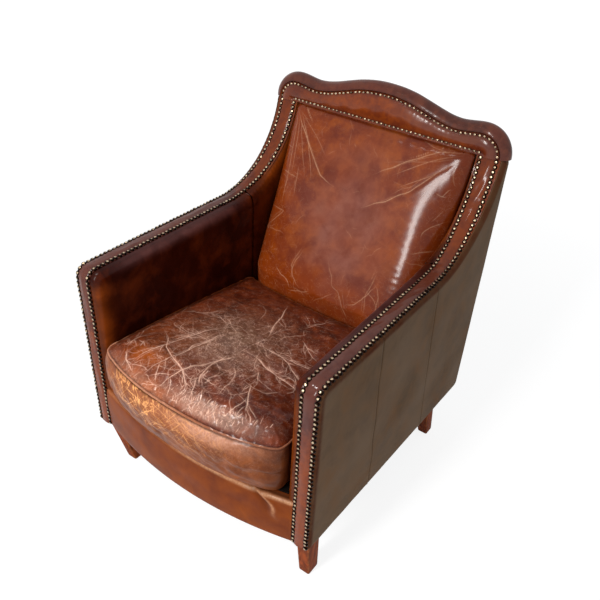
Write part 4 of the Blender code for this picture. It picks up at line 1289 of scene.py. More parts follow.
    def nails(self) -> list[NailRow]:
        """The camelback row and the straight row at the panel's foot."""
        s = SIZES
        row, pitch = self.pitched_row()
        run = path_lengths(row)
        spots = at_length(row, run[:-1] + pitch / 2)
        face = np.tile((0.0, -1.0, 0.0), (len(spots), 1))
        upper = np.column_stack((spots[:, 0], np.full(len(spots), s.crest_face + NAIL_SET), spots[:, 1]))
        count = round(2 * s.inner_row_ear / s.nail_pitch)
        x = np.linspace(s.inner_row_ear, -s.inner_row_ear, count + 1)
        x = (x[1:] + x[:-1]) / 2
        lower = np.column_stack((x, np.full(count, s.crest_face + NAIL_SET),
                                 np.full(count, s.seam_z + s.gap + s.nail_half)))
        return [NailRow("crest_upper_nails", upper, face),
                NailRow("crest_lower_nails", lower, np.tile((0.0, -1.0, 0.0), (count, 1)))]


# ---------------------------------------------------------------- arms and wings
def arm_edge(sink: float, low: float, to_y: float | None = None, to_z: float | None = None,
             low_end: float | None = None) -> Array:
    """The nailed face seen from the side, set in by sink: up the front, over, up the sweep.

    Args:
        sink: how far inside the nailed face the line runs.
        low: height at which it starts.
        to_y: depth at which the sweep ends, or
        to_z: height at which the sweep ends.
        low_end: depth where the line starts, when not at the foot of the front.

    Returns:
        Points (y, z), 3 mm apart.
    """
    s = SIZES
    corner = arc((s.corner_r, s.arm_top - s.corner_r), s.corner_r - sink, 180, 90, 10)
    reach = s.sweep_r + sink
    centre = (s.arm_length, s.arm_top + s.sweep_r)
    end = (-math.degrees(math.acos(min(1.0, (to_y - centre[0]) / reach))) if to_y is not None
           else math.degrees(math.asin((to_z - centre[1]) / reach)))
    sweep = arc(centre, reach, -90, end, 60)
    foot = np.array(((sink, low),))
    line = np.vstack((foot, corner, sweep))
    if low_end is not None:
        line = line[line[:, 0] > low_end]
    return resample(line, 0.003)


def edge_rows(edge: Array, distances: Sequence[float], outline: Array) -> list[Array]:
    """Rows of points at given distances inside a nailed edge, clipped to the cover."""
    inward = beside_line(edge)
    rows = [edge[2:-2] + (away * inward)[2:-2] for away in distances]
    return [row[inside_outline(row, outline)] for row in rows]


@dataclass
class SideCover:
    """Outside of arm and wing: one tight cover with two lapped seams down it."""

    word: str
    side: int
    sink: float = 0.002
    face_front: float = 0.3262
    face_rear: float = 0.3345
    hem_r: float = 0.022
    groove: float = 0.0016
    lap: float = 0.0009
    spacing: float = 0.0048

    def seams(self) -> list[Array]:
        """Lines (y, z) of the two seams, from the arm's top to the hem."""
        lines = []
        for top, foot in (((0.217, SIZES.arm_top - 0.003), (0.246, 0.151)),
                          ((0.452, SIZES.arm_top - 0.003), (0.510, 0.136))):
            line = resample(np.array((top, foot)), 0.003)
            line[:, 0] += 0.0012 * ripple(line, 0.11, 61)
            lines.append(line)
        return lines

    def shape(self) -> Shape:
        """The cover with its eased edge, gathers and seams."""
        s = SIZES
        edge = arm_edge(self.sink, s.hem, to_z=s.seam_z)
        hem = s.fallen(s.hem, s.rear_face)
        corner = arc((s.rear_face - self.hem_r, hem + self.hem_r), self.hem_r, 0, -90, 6)
        outline = np.vstack((edge, [(s.rear_face, s.seam_z)], corner))
        seams = self.seams()
        beside = [line + (off, 0) for line in seams for off in (-0.0034, -0.0014, 0.0, 0.0014, 0.0034)]
        beside = [line[inside_outline(line, outline)] for line in beside]
        rows = edge_rows(edge, (0.0026, 0.0054, 0.009), outline)
        panel = Panel(outline, self.spacing, rows + beside)
        y = panel.flat[:, 0]
        face = mix(self.face_front, self.face_rear, np.clip(y / s.rear_face, 0, 1))
        ease = mix(0.0035, 0.0095, np.clip(y / s.rear_face, 0, 1))
        rim_away, _ = nearest(panel.flat, looped(outline))
        x = face - ease * (1 - rim_ease(rim_away, 1.5 * ease, 0.8))
        edge_away, along = nearest(panel.flat, edge)
        folds = gathers(along, edge_away, NailedBand(self.word, self.side).pitch(), 0.0085, 60 + self.side)
        x += 0.0013 * folds * np.clip(rim_away / 0.003, 0, 1)
        x += 0.0009 * ripple(panel.flat, 0.13, 63 + self.side) * np.clip(rim_away / 0.05, 0, 1)
        scar = np.zeros(len(x))
        for line in seams:
            away, _ = nearest(panel.flat, line)
            ahead = y - np.interp(panel.flat[:, 1], line[::-1, 1], line[::-1, 0])
            x -= self.groove * bell(away, 0.0016)
            x += self.lap * np.where(ahead < 0, bell(away, 0.004, 0.004), 0)
            scar = np.maximum(scar, bell(away, 0.0018))
        front = np.column_stack((self.side * x, y, panel.flat[:, 1]))
        shape = panel.solid(front, lambda flat: np.column_stack((
            np.full(len(flat), self.side * (s.frame_out + s.gap)), flat)))
        # Painted shade in the seam grooves and along the nailed edge.
        shape.mark(Mark.GRIME, np.maximum(0.85 * scar, 0.55 * bell(edge_away, 0.007)))
        shape.mark(Mark.BLOOM, 0.4 + 0.35 * ripple(panel.flat, 0.20, 67))
        shape.mark(Mark.RUB, 1.2 * smooth(0.017, 0.004, edge_away))
        return shape


LINING_SET = 0.0015                                   # how far a lining starts inside the nailed face
LINING_ROWS = (0.0012, 0.003, 0.0056, 0.0085, 0.012)  # rows of mesh points beside its edge


@dataclass
class ArmLining:
    """Padded inner side of the arm, rolled over its front and top to the inner nail row."""

    word: str
    side: int
    root: float = 0.2807
    roll: float = 0.032
    low: float = 0.2892
    seam: float = 0.5200
    spacing: float = 0.0046

    def shape(self) -> Shape:
        """The padded field, drawn in at the nails, the deck and the wing seam."""
        edge = arm_edge(LINING_SET, self.low, to_y=self.seam)
        outline = np.vstack((edge, [(self.seam, self.low)]))
        panel = Panel(outline, self.spacing, edge_rows(edge, LINING_ROWS, outline))
        y, z = panel.flat[:, 0], panel.flat[:, 1]
        away, along = nearest(panel.flat, edge)
        share = np.sin(math.pi / 2 * np.clip(away / self.roll, 0, 1) ** 0.42)
        seam_away = self.seam - y
        share = share * (0.978 + 0.022 * rim_ease(seam_away, 0.012, 0.8))
        pull = gathers(z, seam_away, 0.026, 0.020, 71)
        x = mix(self.root, SIZES.inside_face(y), share)
        open_side = smooth(0.44, 0.47, z)
        x -= 0.0022 * pull * smooth(0.0, 0.004, seam_away) * open_side
        folds = gathers(along, away, NailedBand(self.word, self.side).pitch(), 0.009, 73 + self.side)
        x -= 0.0013 * folds * np.clip(away / 0.003, 0, 1)
        x -= 0.0010 * ripple(panel.flat, 0.07, 75 + self.side) * np.clip(away / 0.03, 0, 1) * open_side
        x = np.maximum(x, SIZES.inside_face(y) - 0.0030 * open_side)
        front = np.column_stack((self.side * x, y, z))
        shape = panel.solid(front, lambda flat: np.column_stack((
            np.full(len(flat), self.side * self.root), flat)))
        nose = bell(y, 0.03) * smooth(0.60, 0.56, z)
        shape.mark(Mark.RUB, 0.55 * nose)
        top = smooth(self.roll, 0.006, away) * smooth(0.03, 0.10, y) * smooth(0.515, 0.40, y)
        # Wax bloom with a painted sheen along the padded top.
        shape.mark(Mark.BLOOM, 0.8 * top)
        # Painted shade beside the nails and at the wing seam.
        shape.mark(Mark.GRIME, np.maximum(0.6 * bell(away, 0.004),
                                          0.25 * bell(seam_away, 0.003)))
        return shape


@dataclass
class WingLining:
    """Padded inner side of the wing, seamed to the arm and drawn in beside the nails."""

    word: str
    side: int
    low: float = 0.2892
    rear: float = 0.730
    roll: float = 0.036
    spacing: float = 0.0048
    under_crest: tuple[float, float] = (0.7229, 0.7129)   # depths of the notch below the crest

    def shape(self) -> Shape:
        """The padded field behind the puckered wing seam."""
        s = SIZES
        start = s.wing_seam
        notch = s.seam_z - 0.0005
        edge = arm_edge(LINING_SET, self.low, to_z=notch)
        edge = edge[edge[:, 0] > start]
        edge = np.vstack(([(start, np.interp(start, edge[:, 0], edge[:, 1]))], edge))
        rail_foot = s.crest_foot - s.gap
        outline = np.vstack((edge, [(self.under_crest[0], notch), (self.under_crest[1], rail_foot),
                                    (self.rear, rail_foot), (self.rear, self.low),
                                    (start, self.low)]))
        panel = Panel(outline, self.spacing, edge_rows(edge, LINING_ROWS, outline))
        y, z = panel.flat[:, 0], panel.flat[:, 1]
        away, along = nearest(panel.flat, edge)
        root = s.rows_at(y)[0] - s.nail_half - 0.0008
        roll = mix(self.roll, 0.011, smooth(0.66, 0.80, z))
        share = np.sin(math.pi / 2 * np.clip(away / roll, 0, 1) ** 0.45)
        seam_away = y - start
        share = share * (0.978 + 0.022 * rim_ease(seam_away, 0.012, 0.8))
        x = mix(root, s.inside_face(y), share)
        open_side = smooth(0.44, 0.47, z) * smooth(0.70, 0.64, y)
        x -= 0.0020 * gathers(z, seam_away, 0.022, 0.022, 81) * open_side * smooth(0.0, 0.004, seam_away)
        folds = gathers(along, away, NailedBand(self.word, self.side).pitch(), 0.010, 83 + self.side)
        x -= 0.0013 * folds * np.clip(away / 0.003, 0, 1)
        x = np.maximum(x, s.inside_face(y) - 0.0025 * open_side)
        front = np.column_stack((self.side * x, y, z))
        shape = panel.solid(front, lambda flat: np.column_stack((
            self.side * np.minimum(s.rows_at(flat[:, 0])[0] - s.nail_half - 0.0005, s.frame_in - s.gap),
            flat)))
        edge_rub = smooth(0.05, 0.01, away) * smooth(0.60, 0.70, z)
        shape.mark(Mark.RUB, 0.40 * smooth(0.53, 0.61, y) + 0.35 * edge_rub)
        # Painted shade beside the nails and at the arm seam.
        shape.mark(Mark.GRIME, np.maximum(0.6 * bell(away, 0.004),
                                          0.25 * bell(seam_away, 0.003)))
        return shape


# ---------------------------------------------------------------- inside back
@dataclass
class TightBack:
    """The pillowed inside back, creased from its corners to the middle."""

    foot: float = 0.272
    top: float = 0.8255
    full_z: float = 0.42
    half: float = 0.2535
    edge_low: float = 0.5455
    edge_top: float = 0.7085
    crown: float = 0.056
    fullness: float = 5.3     # how squarely the field turns down at its sides
    corner: float = 0.010
    flare: float = 0.004      # how much wider it is above the wings' seams
    rear: float = 0.7128      # depth of its flat back at the crest rail's foot
    lean: float = 0.24        # slope of that back
    spacing: float = 0.0031

    def creases(self) -> list[Stroke]:
        """The main folds as listed, and small ones that wander from the edges."""
        lines = (
            (((-0.250, 0.813), (-0.230, 0.791), (-0.201, 0.770), (-0.159, 0.731), (-0.111, 0.690),
              (-0.061, 0.676)), 0.0030, 0.95),
            (((-0.224, 0.824), (-0.205, 0.808), (-0.185, 0.793)), 0.0026, 0.7),
            (((0.245, 0.822), (0.178, 0.812), (0.117, 0.781), (0.056, 0.743), (0.032, 0.728)), 0.0028, 0.75),
            (((0.201, 0.785), (0.163, 0.739), (0.137, 0.716), (0.086, 0.681), (0.033, 0.653)), 0.0030, 0.9),
            (((-0.184, 0.697), (-0.176, 0.66), (-0.168, 0.626)), 0.0024, 0.55),
            (((-0.246, 0.574), (-0.215, 0.580), (-0.184, 0.582), (-0.21, 0.55), (-0.240, 0.520)),
             0.0024, 0.6),
            (((0.042, 0.455), (0.066, 0.42), (0.089, 0.390)), 0.0026, 0.6),
            (((-0.10, 0.43), (-0.112, 0.47), (-0.094, 0.52)), 0.0024, 0.5),
            (((0.13, 0.42), (0.122, 0.47), (0.134, 0.53)), 0.0024, 0.5))
        rng = np.random.default_rng(90)
        strokes = []
        for line, width, strength in lines:
            strokes += bundle(np.array(line), 0.34 * width, 0.85 * strength, 3, 0.005, rng)
            strokes += branches(strokes[-1], 2, (0.015, 0.04), rng)
        for corner, headings, reach in (((-0.243, 0.817), (-0.55, -0.8, -1.0, -1.2, -1.42), (0.10, 0.24)),
                                        ((0.246, 0.818), (3.25, 3.38, 3.55, 3.78), (0.12, 0.26))):
            for heading in headings:
                line = wander(corner, heading + rng.normal() * 0.03, rng.uniform(*reach), 0.035, rng)
                strokes.append(Stroke(line[2:], 0.0008, rng.uniform(0.25, 0.65)))
        for _ in range(15):
            start = (rng.uniform(-0.22, 0.22), rng.uniform(0.392, 0.43))
            heading = math.pi / 2 + rng.normal() * 0.55
            line = wander(start, heading, rng.uniform(0.04, 0.12), 0.20, rng)
            strokes.append(Stroke(line, 0.0008, rng.uniform(0.2, 0.7)))
        for _ in range(15):
            side = rng.choice((-1, 1))
            start = (side * rng.uniform(0.225, 0.25), rng.uniform(0.45, 0.80))
            heading = (0 if side < 0 else math.pi) + rng.normal() * 0.5
            line = wander(start, heading, rng.uniform(0.02, 0.08), 0.2, rng)
            strokes.append(Stroke(line, 0.0009, rng.uniform(0.2, 0.7)))
        for _ in range(50):
            start = (rng.uniform(-0.24, 0.24), rng.uniform(0.42, 0.81))
            line = wander(start, rng.uniform(0, 2 * math.pi), rng.uniform(0.01, 0.04), 0.3, rng)
            strokes.append(Stroke(line, 0.0008, rng.uniform(0.06, 0.26)))
        return strokes

    def shape(self) -> Shape:
        """The pillow, closed by a flat sloping back."""
        corner = self.corner
        outline = np.vstack((
            arc((self.half - corner, self.foot + corner), corner, -90, 0, 4),
            [(self.half, 0.60), (self.half + self.flare, 0.75)],
            arc((self.half + self.flare - corner, self.top - corner), corner, 0, 90, 4)))
        outline = np.vstack((outline, outline[::-1] * (-1, 1)))
        strokes = self.creases()
        lines, flanks = crease_mesh(strokes, outline)
        panel = Panel(outline, self.spacing, flanks, lines)
        x, z = panel.flat[:, 0], panel.flat[:, 1]
        up = np.clip((self.top - z) / (self.top - self.full_z), 0, 1)
        edge = mix(self.edge_low, self.edge_top, 1 - up)
        crown = self.crown * np.sin(math.pi / 2 * up ** 0.75)
        low = np.clip((self.full_z - z) / (self.full_z - self.foot), 0, 1)
        crown *= 1 - 0.4 * low ** 2
        half = self.half + self.flare * np.clip((z - 0.60) / 0.15, 0, 1)
        u = np.clip(abs(x) / half, 0, 1)
        y = edge - crown * (1 - u ** (self.fullness + 2.6 * smooth(0.78, 0.46, z)))
        side_away = half - abs(x)
        y += 0.010 * (1 - rim_ease(side_away, 0.030, 0.7))
        top_away = self.top - z
        y += 0.006 * (1 - rim_ease(top_away, 0.020, 0.7))
        sag = np.column_stack((x, 0.6 * z))
        y += 0.0013 * ripple(sag, 0.16, 91) * np.clip(side_away / 0.05, 0, 1)
        y += (0.00015 * ripple(np.column_stack((0.4 * x, 2.2 * z)), 0.026, 92)
              * smooth(0.08, 0.18, abs(x)) * smooth(0.76, 0.60, z))
        y -= 0.0010 * gathers(x, top_away, 0.031, 0.022, 93) * smooth(0.0, 0.006, top_away)
        deep = [c for c in strokes if c.width > 0.00078 and c.strength > 0.4]
        fold = paint(panel.flat, [Stroke(c.line, 6 * c.width, c.strength) for c in deep])
        ridge = paint(panel.flat, [Stroke(c.line + (0.0, -0.010), 7.5 * c.width, c.strength)
                                   for c in deep])
        y += (0.0010 * fold - 0.0007 * ridge) * mix(1.0, 0.45, smooth(0.02, 0.12, x))
        front = np.column_stack((x, y, z))
        shape = panel.solid(front, lambda flat: np.column_stack((
            flat[:, 0], self.rear + self.lean * (flat[:, 1] - SIZES.crest_foot), flat[:, 1])))
        shape.mark(Mark.SCAR, 0.8 * paint(panel.flat, strokes))
        rim = np.maximum(smooth(0.45, 0.92, u), smooth(0.50, 0.42, z))
        shape.mark(Mark.RUB, 0.95 * rim * (0.85 + 0.2 * ripple(panel.flat, 0.06, 95)))
        middle = bell(x, 0.13, 0.01) * bell(z, 0.17, 0.60)
        shape.mark(Mark.BLOOM, middle * (0.85 + 0.3 * ripple(panel.flat, 0.085, 96)))
        # Painted shade on the right side turned from the key light and at the lower left, with a few random
        # darker patches.
        dim = 0.50 * smooth(0.14, 0.23, x) + 0.16 * smooth(0.48, 0.40, z) * smooth(-0.10, 0.02, x)
        dim += 0.13 * np.clip(ripple(panel.flat, 0.10, 97), 0, 1) * smooth(0.24, 0.15, abs(x))
        # Painted shade in the recesses by the wings and under the crest.
        shape.mark(Mark.GRIME, np.maximum(dim, np.maximum(0.8 * smooth(0.012, 0.0, side_away),
                                                          0.5 * smooth(0.010, 0.0, top_away))))
        shape.mark(Mark.CRACKLE, 0.06 + 0.12 * smooth(0.09, 0.22, abs(x)) + 0.14 * smooth(0.5, 0.42, z))
        return shape


# ---------------------------------------------------------------- seat cushion
@dataclass
class LooseCushion:
    """Feather-topped loose seat: crowned, piped, creased and rubbed."""

    half: float = 0.2490
    shift: float = -0.0032
    front_bow: float = 0.048
    bow_half: float = 0.258
    belly: float = 0.010
    rim_drop: float = 0.010     # fall of the crowned top to its sewn rim
    welt_r: float = 0.0024
    welt_drop: float = 0.0016   # below the rim
    welt_out: float = 0.0012    # beyond the rim
    front_z: float = 0.4385
    rear_z: float = 0.385
    crown: float = 0.016
    rear: float = 0.505
    corner: float = 0.018
    under: float = 0.2888
    pitch_from: float = 0.030
    pitch: float = 0.0501
    spacing: float = 0.0033
    field_faces: int = 0        # faces of the top field, known once it is built

    def top_at(self, x: Array, y: Array) -> Array:
        """Height of the crowned upper side."""
        fall = np.clip(y / 0.48, 0, 1) ** 1.3
        middle = 1 - np.clip(abs(x) / self.half, 0, 1) ** 2
        lift = self.crown * middle * np.sin(math.pi * np.clip((y + 0.05) / 0.55, 0, 1))
        return mix(self.front_z, self.rear_z, fall) + lift

    def _bow(self, reach: float | Array) -> float | Array:
        """Share of the front's bow at a distance from the middle plane."""
        return 1 - (reach / self.bow_half) ** 2.5

    def plan(self, swell: float) -> Array:
        """Closed outline in plan, the front and its corners pushed out by swell."""
        x = np.linspace(-0.224, 0.224, 97)
        bow = self._bow(abs(x))
        front = np.column_stack((x, -self.front_bow * bow - swell * (0.6 + 0.4 * bow)))
        turn = np.array((front[-1], (self.half - 0.0105 + 0.5 * swell, -0.006 - 0.6 * swell),
                         (self.half - 0.003 + 0.9 * swell, 0.004 - 0.2 * swell),
                         (self.half + 0.6 * swell, 0.018), (self.half, 0.042), (self.half, 0.06)))
        t = np.linspace(0, 1, 41)[1:-1]
        step = np.linspace(0, 1, len(turn))
        side = self._eased(turn, step, t)
        side = np.vstack((side, [(self.half, y) for y in np.linspace(0.065, 0.48, 60)]))
        side = np.vstack((side, arc((self.half - self.corner, self.rear - self.corner),
                                    self.corner, 0, 80, 8)))
        x = np.linspace(self.half - self.corner, self.corner - self.half, 81)
        back = np.column_stack((x, self.rear - 0.025 * (1 - (x / self.half) ** 2)))
        return np.vstack((front, side, back, side[::-1] * (-1, 1)))

    def rim(self) -> Array:
        """The outline cut finely at the front, where it shows, and coarsely round the rest."""
        loop = looped(self.plan(0.0))
        run = path_lengths(loop)
        step = np.where(smooth(0.09, 0.07, loop[:, 1]) > 0, 0.0026, 0.0075)
        pace = np.concatenate(([0.0], np.cumsum(np.diff(run) / (0.5 * (step[1:] + step[:-1])))))
        want = np.interp(np.linspace(0, pace[-1], int(pace[-1]) + 1), pace, run)
        return at_length(loop, want)[:-1]

    @staticmethod
    def _eased(points: Array, at: Array, want: Array) -> Array:
        """Catmull-Rom curve through points."""
        slopes = np.gradient(points, at, axis=0)
        out = []
        for t in want:
            k = min(len(at) - 2, int(np.searchsorted(at, t, side="right")) - 1)
            h = at[k + 1] - at[k]
            s = (t - at[k]) / h
            out.append((2 * s ** 3 - 3 * s ** 2 + 1) * points[k] + (s ** 3 - 2 * s ** 2 + s) * h * slopes[k]
                       + (3 * s ** 2 - 2 * s ** 3) * points[k + 1] + (s ** 3 - s ** 2) * h * slopes[k + 1])
        return np.array(out)

    def creases(self) -> list[Stroke]:
        """Main creases of the sitting face as listed, then the dense net between them, and short pale streaks
        across the front edge that paint a highlight there.
        """
        lines = (
            (((-0.055, 0.427), (-0.028, 0.36), (-0.008, 0.30), (0.013, 0.255)), 0.0022, 1.0),
            (((0.074, 0.311), (0.11, 0.285), (0.151, 0.267)), 0.0018, 0.7),
            (((0.010, 0.222), (0.054, 0.215), (0.10, 0.222), (0.160, 0.226), (0.205, 0.240)), 0.0018, 0.85),
            (((0.048, 0.232), (0.082, 0.218), (0.107, 0.210), (0.14, 0.19), (0.185, 0.165)), 0.0019, 0.95),
            (((0.022, 0.178), (0.078, 0.165), (0.12, 0.157), (0.157, 0.153), (0.205, 0.140)), 0.0018, 0.85),
            (((0.078, 0.141), (0.088, 0.124), (0.102, 0.108)), 0.0018, 0.7),
            (((0.095, 0.093), (0.115, 0.062), (0.134, 0.036), (0.144, 0.014)), 0.0022, 1.0),
            (((-0.010, 0.143), (-0.010, 0.077), (0.004, 0.035), (0.024, 0.007)), 0.0019, 0.85),
            (((-0.062, 0.205), (-0.085, 0.135), (-0.088, 0.064), (-0.097, 0.022), (-0.108, -0.030)),
             0.0021, 1.0),
            (((0.014, 0.165), (-0.008, 0.118), (-0.022, 0.070), (-0.043, 0.018), (-0.052, -0.023),
              (-0.071, -0.044)), 0.0020, 0.95),
            (((-0.190, 0.122), (-0.154, 0.098), (-0.128, 0.066), (-0.084, 0.044), (-0.038, 0.026),
              (0.002, -0.004), (0.016, -0.034)), 0.0019, 0.95),
            (((-0.090, 0.225), (-0.118, 0.176), (-0.134, 0.112), (-0.140, 0.048), (-0.158, -0.016)),
             0.0020, 0.95),
            (((-0.062, 0.148), (-0.098, 0.158), (-0.146, 0.150), (-0.190, 0.160)), 0.0016, 0.6),
            (((-0.020, 0.232), (-0.064, 0.250), (-0.112, 0.244), (-0.160, 0.262)), 0.0016, 0.55),
            (((0.020, 0.128), (0.046, 0.100), (0.066, 0.058), (0.070, 0.012)), 0.0016, 0.6),
            (((-0.192, 0.011), (-0.174, -0.011), (-0.133, -0.029)), 0.0018, 0.8),
            (((-0.197, 0.016), (-0.202, 0.045), (-0.198, 0.076)), 0.0016, 0.6),
            (((-0.236, 0.211), (-0.178, 0.245), (-0.134, 0.293)), 0.0018, 0.7),
            (((0.043, 0.361), (0.055, 0.41), (0.063, 0.446)), 0.0017, 0.7))
        rng = np.random.default_rng(100)
        strokes = []
        for line, width, strength in lines:
            main = bundle(np.array(line), 0.48 * width, strength, 3, 0.0035, rng)
            strokes += main + branches(main[0], 7, (0.015, 0.07), rng)
        for _ in range(80):
            turn = rng.uniform(0, 2 * math.pi)
            reach = rng.uniform(0.03, 0.17)
            start = (-0.02 + 1.1 * reach * math.cos(turn), 0.16 + reach * math.sin(turn))
            line = wander(start, turn + rng.normal() * 0.9, rng.uniform(0.03, 0.11), 0.26, rng)
            crack = Stroke(line, rng.uniform(0.0005, 0.0008), 0.12 + 0.6 * rng.uniform() ** 1.7)
            strokes += [crack] + branches(crack, 2, (0.008, 0.03), rng)
        for _ in range(220):
            start = (-0.03 + 0.095 * rng.normal(), 0.155 + 0.095 * rng.normal())
            line = wander(start, rng.uniform(0, 2 * math.pi), rng.uniform(0.008, 0.030), 0.5, rng)
            strokes.append(Stroke(line, rng.uniform(0.0005, 0.0007),
                                  0.10 + 0.45 * rng.uniform() ** 1.5))
        for _ in range(70):
            start = (rng.uniform(-0.24, 0.10), rng.uniform(-0.038, 0.05))
            line = wander(start, rng.uniform(0, 2 * math.pi), rng.uniform(0.010, 0.035), 0.30, rng)
            strokes.append(Stroke(line, rng.uniform(0.0006, 0.0009),
                                  0.15 + 0.6 * rng.uniform() ** 1.5))
        # Painted highlight: short pale streaks across the front edge, where the leather also creases.
        for _ in range(150):
            x = 0.070 + 0.052 * rng.normal()
            away = rng.uniform(0.006, 0.036)
            start = (x, away - self.front_bow * self._bow(min(abs(x), 0.24)))
            heading = math.pi / 2 + 0.45 * rng.normal()
            line = wander(start, heading, rng.uniform(0.006, 0.018), 0.2, rng)
            strokes.append(Stroke(line, rng.uniform(0.0006, 0.0009), 0.35 + 0.65 * rng.uniform()))
        return strokes

    def shape(self) -> Shape:
        """Top field, boxing and flat underside as one closed mesh."""
        plan = self.plan(0.0)
        strokes = self.creases()
        lines, flanks = crease_mesh(strokes, plan)
        panel = Panel(self.rim(), self.spacing, flanks, lines, cut=False)
        x, y = panel.flat[:, 0], panel.flat[:, 1]
        away, along = nearest(panel.flat, looped(plan))
        z = self.top_at(x, y)
        z += 0.0075 * smooth(0.11, 0.03, abs(y - 0.02)) * smooth(0.0, 0.055, away)
        front_share = smooth(0.12, 0.03, y)
        rounded = 0.006 - 0.016 * (1 - np.clip(away / 0.062, 0, 1)) ** 2
        drawn = -self.rim_drop * (1 - rim_ease(away, 0.040, 0.85))
        z += mix(drawn, rounded, front_share)
        puckers = 0.0022 * gathers(along, away, 0.027, 0.026, 101) * smooth(0.0, 0.006, away)
        puckers += 0.0014 * gathers(along + 0.004, away, 0.0155, 0.016, 103) * smooth(0.0, 0.005, away)
        z += puckers * smooth(0.30, 0.10, y)
        field_share = smooth(0.01, 0.06, away)
        z += 0.0020 * ripple(panel.flat, 0.075, 104) * field_share
        z += 0.0008 * ripple(panel.flat, 0.022, 105) * field_share
        deep = [c for c in strokes if c.width > 0.00076 and c.strength > 0.6]
        z -= 0.0014 * paint(panel.flat, [Stroke(c.line, 3.8 * c.width, c.strength) for c in deep])
        z += 0.0010 * paint(panel.flat, [Stroke(c.line + (0.006, 0.004), 5.2 * c.width, c.strength)
                                         for c in deep])
        # Pale marks of the creases, with the painted highlight streaks of the front edge.
        scar = paint(panel.flat, strokes)
        front_rim = smooth(0.058, 0.020, away) * smooth(0.06, 0.0, y) * smooth(-0.10, 0.03, x)
        pleats = ripple(np.column_stack((along, 0.38 * away)), 0.0125, 107) * front_rim
        z += 0.00055 * pleats * smooth(0.0, 0.006, away)
        top = np.column_stack((x + self.shift, y, z))
        shape = self._close(panel, top)
        self._mark(shape, len(top), away, scar)
        return shape

    def _push(self, points: Array) -> tuple[Array, Array]:
        """How far round the outline each point lies, and which way a swelling moves it."""
        plan = self.plan(0.0)
        loop = looped(plan)
        _, at = nearest(points, loop)
        run = path_lengths(loop)
        moved = looped(self.plan(self.belly) - plan) / self.belly
        return at, np.column_stack([np.interp(at, run, moved[:, k]) for k in (0, 1)])

    def _close(self, panel: Panel, top: Array) -> Shape:
        """Boxing rings from the top's rim to the underside."""
        rim = panel.flat[panel.rim]
        at, push = self._push(rim)
        push = push * (0.5, 1.0)
        base = self.under - self.pitch * (rim[:, 1] - self.pitch_from)
        rim_z = top[panel.rim][:, 2]
        shares = np.concatenate((np.linspace(0.985, 0.06, 58), (0.03, 0.0)))
        swell = np.interp(shares, (0, 0.04, 0.15, 0.3, 0.5, 0.60, 0.68, 0.76, 0.82, 0.87, 0.91, 0.95, 1),
                          (0, 0.0, 0.48, 1.02, 1.64, 1.88, 1.98, 1.93, 1.74, 1.47, 1.16, 0.74, 0))
        scale = np.interp(shares, (0, 0.04, 0.16, 1), (0.955, 0.985, 1, 1))
        points, faces = [top], list(panel.triangles)
        self.field_faces = len(faces)
        before = panel.rim
        count = len(rim)
        front = smooth(0.05, -0.01, rim[:, 1])
        right = smooth(0.10, 0.21, rim[:, 0])
        start = len(top)
        for k, share in enumerate(shares):
            spot = rim * (scale[k], 1) + push * self.belly * swell[k]
            spot[:, 1] = mix(0.23, spot[:, 1], scale[k])
            spots = np.column_stack((at, np.full(count, 0.15 * share)))
            folds = (0.0018 * ripple(spots, 0.05, 110) + 0.0007 * ripple(spots, 0.018, 111)
                     + 0.0046 * right * np.sin(share * 23 + 1.9 * ripple(spots, 0.10, 112))
                     * (0.6 + 0.4 * ripple(spots, 0.07, 113)))
            spot += push * (folds * front * min(1.0, swell[k]))[:, None]
            z = mix(base, rim_z, share)
            points.append(np.column_stack((spot[:, 0] + self.shift, spot[:, 1], z)))
            ring = list(range(start, start + count))
            faces += [(before[m], before[(m + 1) % count], ring[(m + 1) % count], ring[m])
                      for m in range(count)]
            before, start = ring, start + count
        faces.append(tuple(before))
        return Shape(np.vstack(points), faces)

    def cover_boxing(self, mesh: bpy.types.Mesh, finish: Material) -> None:
        """Give the faces below the top field their own leather."""
        mesh.materials.append(finish)
        lower = np.arange(len(mesh.polygons)) >= self.field_faces
        mesh.polygons.foreach_set("material_index", lower.astype(np.int32))

    def _mark(self, shape: Shape, top_count: int, away: Array, creased: Array) -> None:
        """Bloom and crackle in the middle, tan rubs, scratches on the boxing, painted highlights at the front
        edge and under the welt, and painted shade round the rim, under the welt, on the right and beside the
        arms.
        """
        x, y = shape.points[:, 0] - self.shift, shape.points[:, 1]
        shape.mark(Mark.BLOOM, spot_at(x, y, (-0.041, 0.196), (0.125, 0.14)))
        rub = 0.9 * spot_at(x, y, (-0.134, 0.019), (0.055, 0.030))
        edge = np.zeros(len(x))
        edge[:top_count] = smooth(0.034, 0.008, away)
        worn_edge = edge * bell(x, 0.11, -0.10) * (y < 0.04)
        rub = np.maximum(rub, 0.8 * worn_edge)
        rub = np.maximum(rub, 0.26 * spot_at(x, y, (-0.17, 0.10), (0.09, 0.10)))
        lower = np.arange(len(x)) >= top_count
        z = shape.points[:, 2]
        boxing = lower & (y < 0.02)
        upper = smooth(0.335, 0.375, z)
        hatch = (1.05 * bell(x, 0.085, -0.105) + 0.4 * bell(x, 0.10, 0.04)) * upper
        shape.mark(Mark.HATCH, np.where(boxing, hatch, 0.0))
        boxing_rub = 0.20 + 0.34 * bell(x, 0.17, -0.03) * upper
        shape.mark(Mark.RUB, np.maximum(rub, np.where(boxing, boxing_rub, 0)))
        scar = np.zeros(len(x))
        scar[:top_count] = creased
        # Painted highlight on the boxing just under the welt.
        pale = (0.04 + 0.38 * bell(x, 0.085, 0.10)) * smooth(0.385, 0.425, z)
